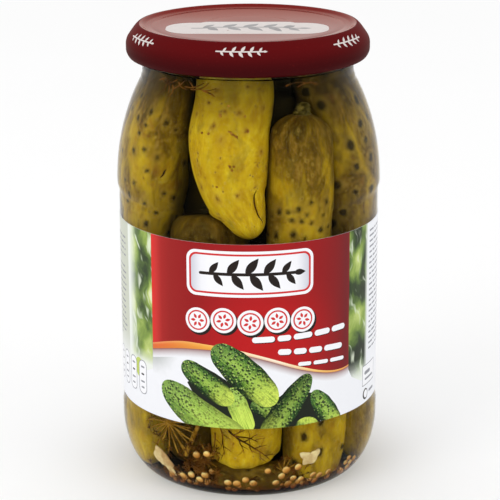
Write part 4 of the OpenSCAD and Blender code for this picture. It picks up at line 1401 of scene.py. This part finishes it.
def text_like(x0, x1, y0, y1, pitch, w, seed):
    g_ = np.random.default_rng(seed)
    y = y1
    while y > y0:
        x = x0
        end_ = x1 - (g_.uniform(2, 14) if g_.uniform() < 0.25 else 0)
        while x < end_ - 1.0:
            ln = min(g_.uniform(1.2, 5.5), end_ - x)
            draw("ink_grey", [(x, y - w), (x + ln, y - w), (x + ln, y + w), (x, y + w)])
            x += ln + 0.9
        y -= pitch


text_like(54.0, 92.0, 48.5, 93.0, 2.0, 0.34, 41)
text_like(-95.0, -57.0, 52.0, 90.0, 2.2, 0.34, 43)
text_like(102.0, 140.0, 34.0, 90.0, 2.4, 0.26, 47)
for k_ in range(7):
    draw("ink_grey", [(-138.0, 82.0 - 5 * k_), (-106.0, 82.0 - 5 * k_), (-106.0, 82.3 - 5 * k_), (-138.0, 82.3 - 5 * k_)])
    draw("ink_grey", bar(-136.0, 79.4 - 5 * k_, -126.0 + 2 * math.sin(k_ * 2.1), 79.4 - 5 * k_, 0.35, 3))
    draw("ink_grey", bar(-113.0, 79.4 - 5 * k_, -108.0, 79.4 - 5 * k_, 0.35, 3))
draw("red", [(-141.0, 86.0), (-103.0, 86.0), (-103.0, 91.0), (-141.0, 91.0)])

lines = [((-HALF + 2 * HALF * i / 126, Z0), (-HALF + 2 * HALF * i / 126, Z1)) for i in range(1, 126)]
lines += [((-58.0, y), (58.0, y)) for y in np.arange(Z0 + 2.6, Z1, 2.6)]
# outlines that hang over the label's edge are cut there: only the pieces inside the white sheet are kept
pts, tris, owners = cut([o for _, o, _, _ in art], lines)
keep = [i for i, o in enumerate(owners) if 0 in o]
tris, owners = [tris[i] for i in keep], [owners[i] for i in keep]
pts = np.array(pts)


def label_r(u, base):
    phi = np.degrees(u / ART_R)
    return base + 0.165 * smooth(172.0, 175.2, phi)


def wrap(pts_, base):
    r_ = label_r(pts_[:, 0], base)
    a = pts_[:, 0] / ART_R
    return np.stack([r_ * np.sin(a), -r_ * np.cos(a), pts_[:, 1]], 1)


used = sorted({i for t_ in tris for i in t_})
where = {o: n for n, o in enumerate(used)}
pts = pts[used]
tris = [tuple(where[i] for i in t_) for t_ in tris]
n = len(pts)
count = {}
for t_ in tris:
    for i in range(3):
        e = (t_[i], t_[(i + 1) % 3])
        count[e] = count.get(e, 0) + 1
rim = [e for e in count if (e[1], e[0]) not in count]
faces = list(tris) + [(t_[2] + n, t_[1] + n, t_[0] + n) for t_ in tris] + [(a, a + n, b_ + n, b_) for a, b_ in rim]
verts = np.concatenate([wrap(pts, ART_R), wrap(pts, PANEL_R + 0.005)])
top_of = [max(o) for o in owners]
index = [M[art[o][0]] for o in top_of] + [M["white"]] * (len(tris) + len(rim))
label = make("paper_label", verts, faces, label_mats, index)


def fade_of(name, x, y):
    if name == "blur":
        if x < 0:
            return max(float(smooth(-46.5, -53.5, x)), float(smooth(52.0, 46.9, y)))
        return max(float(smooth(50.2, 51.6, x)) * 0.85, float(smooth(47.0, 39.5, y)))
    if name == "side_panel":
        return max(float(smooth(-62.0, -74.0, x)), float(smooth(58.0, 42.0, y)), float(smooth(-53.5, -50.5, x)) * 0.6)
    if name == "green_haze":
        return float(np.clip(math.hypot((x + 38.5) / 12.5, (y - 56.0) / 11.0), 0, 1))
    if name == "shade":
        edge_ = float(np.interp(x, [p_[0] for p_ in band_low], [p_[1] for p_ in band_low]))
        return float(np.clip((edge_ - y) / 3.2, 0, 1))
    if name == "band":
        a = float(np.interp(x, [p_[0] for p_ in band_top], [p_[1] for p_ in band_top]))
        c = float(np.interp(x, [p_[0] for p_ in band_low], [p_[1] for p_ in band_low]))
        return float(np.clip((a - y) / max(a - c, 0.1), 0, 1))
    if name == "plaque":
        return float(smooth(21.2, 15.5, abs(x - 0.4)))
    return 0.0


flat_uv, own_uv, fade, kind_v = [], [], [], []
for t_, o in zip(tris, top_of):
    name, _, own, kd = art[o]
    for i in t_:
        x, y = pts[i]
        flat_uv.append((x / 100, y / 100))
        if own is None:
            own_uv.append((0.0, 0.0))
        else:
            ox, oy, d, n_, tot, w, bow = own
            s_ = ((x - ox) * d[0] + (y - oy) * d[1]) / tot
            own_uv.append((s_, ((x - ox) * n_[0] + (y - oy) * n_[1] - bow * 4 * s_ * (1 - s_)) / w))
        fade.append(fade_of(name, x, y))
        kind_v.append(kd)
for t_ in tris:
    for i in reversed(t_):
        flat_uv.append((pts[i][0] / 100, pts[i][1] / 100))
        own_uv.append((0.0, 0.0))
        fade.append(0.0)
        kind_v.append(0.0)
for a, b_ in rim:
    for i in (a, a, b_, b_):
        flat_uv.append((pts[i][0] / 100, pts[i][1] / 100))
        own_uv.append((0.0, 0.0))
        fade.append(0.0)
        kind_v.append(0.0)
uv_map(label, "flat", flat_uv)
uv_map(label, "own", own_uv)
attribute(label, "fade", fade, "CORNER")
attribute(label, "kind", kind_v, "CORNER")
nrm = []
for p_ in label.data.polygons:
    for li in p_.loop_indices:
        vi = label.data.loops[li].vertex_index
        c = label.data.vertices[vi].co
        q_ = Vector((c.x, c.y, 0)).normalized()
        if p_.index < len(tris):
            nrm.append(q_)
        elif p_.index < 2 * len(tris):
            nrm.append(-q_)
        else:
            nrm.append(p_.normal)
label.data.normals_split_custom_set([tuple(x) for x in nrm])


# ---------------------------------------------------------------- cap
def cap_curve():
    o = [(0, CAP_Z - CAP_SINK + BUTTON_H), (8.0, CAP_Z - CAP_SINK + BUTTON_H), (BUTTON_R - 2.4, CAP_Z - CAP_SINK + BUTTON_H)]
    o += [(BUTTON_R - 2.4 + 2.6 * i / 8, CAP_Z - CAP_SINK + BUTTON_H * (1 - ease(i / 8))) for i in range(1, 9)]
    o += [(CAP_R - 12.0, CAP_Z - CAP_SINK), (CAP_R - 9.4, CAP_Z - CAP_SINK), (CAP_R - 9.0, CAP_Z - CAP_SINK - 0.10), (CAP_R - 8.6, CAP_Z - CAP_SINK), (CAP_R - 7.0, CAP_Z - CAP_SINK)]
    o += [(CAP_R - 7.0 + 2.2 * i / 10, CAP_Z - CAP_SINK + CAP_SINK * ease(i / 10)) for i in range(1, 11)]
    # the shoulder from the raised edge down to the widest part
    ctrl = [(CAP_R - 4.8, CAP_Z), (CAP_R - 4.3, CAP_Z - 0.08), (CAP_R - 3.66, CAP_Z - 0.57), (CAP_R - 2.88, CAP_Z - 1.43), (CAP_R - 1.82, CAP_Z - 2.87), (CAP_R - 0.95, CAP_Z - 4.1),
            (CAP_R - 0.45, CAP_Z - 4.95), (CAP_R - 0.12, CAP_Z - 5.9), (CAP_R, CAP_Z - 6.8), (CAP_R, CAP_LOW + 2.9), (CAP_R - 0.15, CAP_LOW + 2.0), (CAP_R - 0.55, CAP_LOW + 1.1),
            (CAP_R - 1.1, CAP_LOW + 0.35), (CAP_R - 1.7, CAP_LOW)]
    q_ = catmull([(a, 0, c) for a, c in ctrl], np.linspace(0, 1, 60))
    o += [(float(min(a[0], CAP_R)), float(max(a[2], CAP_LOW))) for a in q_[1:]]
    return o


CAP_OUT = cap_curve()
CAP_IN = [(CAP_R - 2.0, CAP_LOW + 0.1), (CAP_R - 2.2, CAP_LOW + 0.5), (CAP_R - 2.2, CAP_LOW + 1.1), (CAP_R - 2.05, CAP_LOW + 1.6), (CAP_R - 1.4, CAP_LOW + 2.2), (CAP_R - CAP_T, CAP_LOW + 2.9), (CAP_R - CAP_T, CAP_Z - 6.8),
          (CAP_R - 1.0, CAP_Z - 5.0), (CAP_R - 2.1, CAP_Z - 3.5), (CAP_R - 3.0, RIM_Z), (CAP_R - 7.4, RIM_Z), (CAP_R - 7.6, CAP_Z - CAP_SINK - CAP_T),
          (BUTTON_R + 0.2, CAP_Z - CAP_SINK - CAP_T), (BUTTON_R - 1.8, CAP_Z - CAP_SINK + BUTTON_H - CAP_T), (0, CAP_Z - CAP_SINK + BUTTON_H - CAP_T)]


def cap_shape(r, z, phi):
    if r[0] < CAP_R - 1.9 and z[0] < CAP_LOW + 1.7 and r[0] > 40:  # four lugs bent in from the curl
        for k in range(4):
            a = (np.degrees(phi) - 90 - (22 + 90 * k)) % 360
            r = r - 0.6 * np.clip(np.minimum(a, 20 - a) / 2.5, 0, 1) * (a < 20)
    return r, z


v, f, row = lathe(CAP_OUT + CAP_IN, 256, cap_shape)
crest = int(np.argmax([q[1] for q in CAP_OUT]))
# the side is the same lacquer given darker paint and a weaker shine: a painted-shade copy of the top's
cap_mats = [mat_cap("cap_top_lacquer", srgb(118, 24, 22), srgb(112, 22, 21), 0.004, 1.0, (0.68, 0.37, 0.31), (1.0, 0.86, 0.80)),
            mat_cap("cap_side_lacquer_shaded", srgb(92, 13, 16), srgb(58, 10, 13), 0.002, 0.13, (1.0, 0.78, 0.70), (1.0, 0.82, 0.76)), mat_cap_inside()]
cap = make("cap_shell", v, f, cap_mats, np.where(row >= len(CAP_OUT) + 3, 2, np.where(row < crest, 0, 1)), angle=40)
_top = np.array([p_ for p_ in CAP_OUT if p_[1] > CAP_Z - CAP_SINK - 0.2][:24])
_side = np.array(CAP_OUT)
_side = _side[np.argmax(_side[:, 1]):]
_len = np.concatenate([[0], np.cumsum(np.hypot(*np.diff(_side, axis=0).T))])


def print_on(name, groups, place, lines_, mats):
    """Printed marks as thin films that follow a surface. groups: (material, outlines); place(points, lift) gives 3-D points."""
    V, F, I, n_ = [], [], [], 0
    polys = [(m_, o) for m_, os_ in groups for o in os_]
    p2, t2, ow = cut([o for _, o in polys], lines_)
    keep_ = [i for i, o in enumerate(ow) if o]
    t2, ow = [t2[i] for i in keep_], [ow[i] for i in keep_]
    used_ = sorted({i for t_ in t2 for i in t_})
    mp = {o: k for k, o in enumerate(used_)}
    p2 = np.array(p2)[used_]
    t2 = [tuple(mp[i] for i in t_) for t_ in t2]
    m2 = len(p2)
    edges_ = {(t_[i], t_[(i + 1) % 3]) for t_ in t2 for i in range(3)}
    rim_ = [e_ for e_ in edges_ if (e_[1], e_[0]) not in edges_]
    rim_.sort()
    verts_ = np.concatenate([place(p2, 0.045), place(p2, -0.02)])
    faces_ = list(t2) + [(t_[2] + m2, t_[1] + m2, t_[0] + m2) for t_ in t2] + [(a, a + m2, b_ + m2, b_) for a, b_ in rim_]
    idx = [polys[max(o)][0] for o in ow]
    idx = idx + idx + [0] * len(rim_)
    return verts_, faces_, idx


def on_side(phi0):
    def place(p, lift):
        d = np.clip(p[:, 1], 0, _len[-1])
        r_ = np.interp(d, _len, _side[:, 0])
        z_ = np.interp(d, _len, _side[:, 1])
        e_ = 0.05
        dr = np.interp(d + e_, _len, _side[:, 0]) - np.interp(np.maximum(d - e_, 0), _len, _side[:, 0])
        dz = np.interp(d + e_, _len, _side[:, 1]) - np.interp(np.maximum(d - e_, 0), _len, _side[:, 1])
        ln = np.maximum(np.hypot(dr, dz), 1e-6)
        nr, nz = -dz / ln, dr / ln
        a = math.radians(phi0) + p[:, 0] / CAP_R
        r_, z_ = r_ + nr * lift, z_ + nz * lift
        return np.stack([r_ * np.sin(a), -r_ * np.cos(a), z_], 1)
    return place


def on_top(p, lift):
    r_ = np.hypot(p[:, 0], p[:, 1])
    z_ = np.interp(r_, _top[:, 0], _top[:, 1]) + lift
    return np.stack([p[:, 0], p[:, 1], z_], 1)


ink = [mat_ink("cap_ink_white", srgb(218, 210, 206), srgb(204, 194, 190)), mat_ink("cap_ink_grey", srgb(150, 146, 146), srgb(132, 130, 130))]
V, F, I, n0 = [], [], [], 0
mid_s = 4.15
for k_ in range(6):
    lines_ = [((-11 + 0.8 * i, mid_s - 4), (-11 + 0.8 * i, mid_s + 4)) for i in range(29)] + [((-12, mid_s - 4 + 0.7 * i), (12, mid_s - 4 + 0.7 * i)) for i in range(12)]
    a_, b_, c_ = print_on("side", [(0, sprig(0, mid_s, 8.6, 1.75, 0.24))], on_side(-3.5 + 60 * k_), lines_, ink)
    # the outline's second axis runs down the side, so its faces are turned
    V.append(a_)
    F += [tuple(i + n0 for i in reversed(x)) for x in b_]
    I += c_
    n0 += len(a_)
tilt = math.radians(-1.5)


def turned(o):
    return [(x * math.cos(tilt) - y * math.sin(tilt) - 0.2, x * math.sin(tilt) + y * math.cos(tilt) - 7.8) for x, y in o]


lines_ = [((-30, -21 + 1.2 * i), (30, -21 + 1.2 * i)) for i in range(24)] + [((-30 + 1.5 * i, -21), (-30 + 1.5 * i, 6)) for i in range(41)]
a_, b_, c_ = print_on("top", [(0, [turned(plaque(0, 0, 28.4, 10.6, 9.0, 12))]), (1, [turned(o) for o in sprig(0, 0, 19.0, 5.6, 0.7)])], on_top, lines_, ink)
V.append(a_)
F += [tuple(i + n0 for i in x) for x in b_]
I += c_
cap_print = make("cap_print", np.concatenate(V), F, ink, I, angle=30)

# ---------------------------------------------------------------- what rides, what replaces what
for ob, slot_, nodes in ((jar, "jar", ["jar"]), (brine, "brine", ["brine"]), (label, "label", ["label"]), (cap, "cap", ["cap"]), (cap_print, "cap", []),
                         (pickles_upper, "brine", []), (pickles_lower, "brine", []), (core, "brine", []), (dill_ob, "brine", []), (twig_ob, "brine", []),
                         (seeds_ob, "brine", []), (bed_ob, "brine", []), (garlic_ob, "brine", []), (scar_ob, "brine", []), (mark_ob, "brine", []), (nub, "brine", [])):
    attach(ob, "root")
    if nodes:
        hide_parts(*nodes)

# ---------------------------------------------------------------- floor, light, camera
S = bpy.context.scene
me = bpy.data.meshes.new("floor")
me.from_pydata([(-3, -3, 0), (3, -3, 0), (3, 3, 0), (-3, 3, 0)], [], [(0, 1, 2, 3)])
floor = bpy.data.objects.new("floor", me)
S.collection.objects.link(floor)
b = Nodes("pale_floor")
n = b.noise(b.place(), 3.0, 3.0)
sh = b.principled(Base_Color=b.mix(n, (0.96, 0.96, 0.96), (0.94, 0.94, 0.94)), Roughness=0.9, Specular_IOR_Level=0.0)
me.materials.append(b.finish(sh.outputs[0]))

world = bpy.data.worlds.new("soft_white")
S.world = world
world.use_nodes = True
bg = world.node_tree.nodes["Background"]
bg.inputs[0].default_value = (1.0, 1.0, 1.0, 1.0)
bg.inputs[1].default_value = 1.0


def area(name, loc, target, size, power, size_y=None):
    d = bpy.data.lights.new(name, "AREA")
    d.shape = "RECTANGLE" if size_y else "SQUARE"
    d.size = size
    if size_y:
        d.size_y = size_y
    d.energy = power
    o = bpy.data.objects.new(name, d)
    S.collection.objects.link(o)
    o.location = loc
    o.rotation_euler = (Vector(target) - Vector(loc)).to_track_quat("-Z", "Y").to_euler()
    return o


for lamp in (area("key_left", (-0.75, -0.75, 0.75), (0, 0, 0.09), 0.55, 2.2), area("fill_right", (0.9, -0.6, 0.55), (0, 0, 0.09), 0.5, 0.8)):
    lamp.visible_glossy = False

cam_data = bpy.data.cameras.new("camera")
cam = bpy.data.objects.new("camera", cam_data)
S.collection.objects.link(cam)
elev = math.radians(16.76)
target = Vector((0.0004, 0, 0.0804))
cam.location = target + 0.7122 * Vector((0, -math.cos(elev), math.sin(elev)))
rot = (target - cam.location).to_track_quat("-Z", "Y")
cam.rotation_mode = "QUATERNION"
cam.rotation_quaternion = rot @ Quaternion((0, 0, 1), math.radians(-0.27))
cam_data.sensor_width = 36.0
cam_data.lens = 140.9
cam_data.clip_start = 0.01
cam_data.clip_end = 20
S.camera = cam

S.view_settings.view_transform = "Standard"
S.view_settings.look = "None"
S.cycles.max_bounces = 14
S.cycles.transmission_bounces = 12
S.cycles.glossy_bounces = 4
S.cycles.diffuse_bounces = 3
S.cycles.transparent_max_bounces = 24
S.cycles.use_denoising = True
S.cycles.caustics_reflective = False
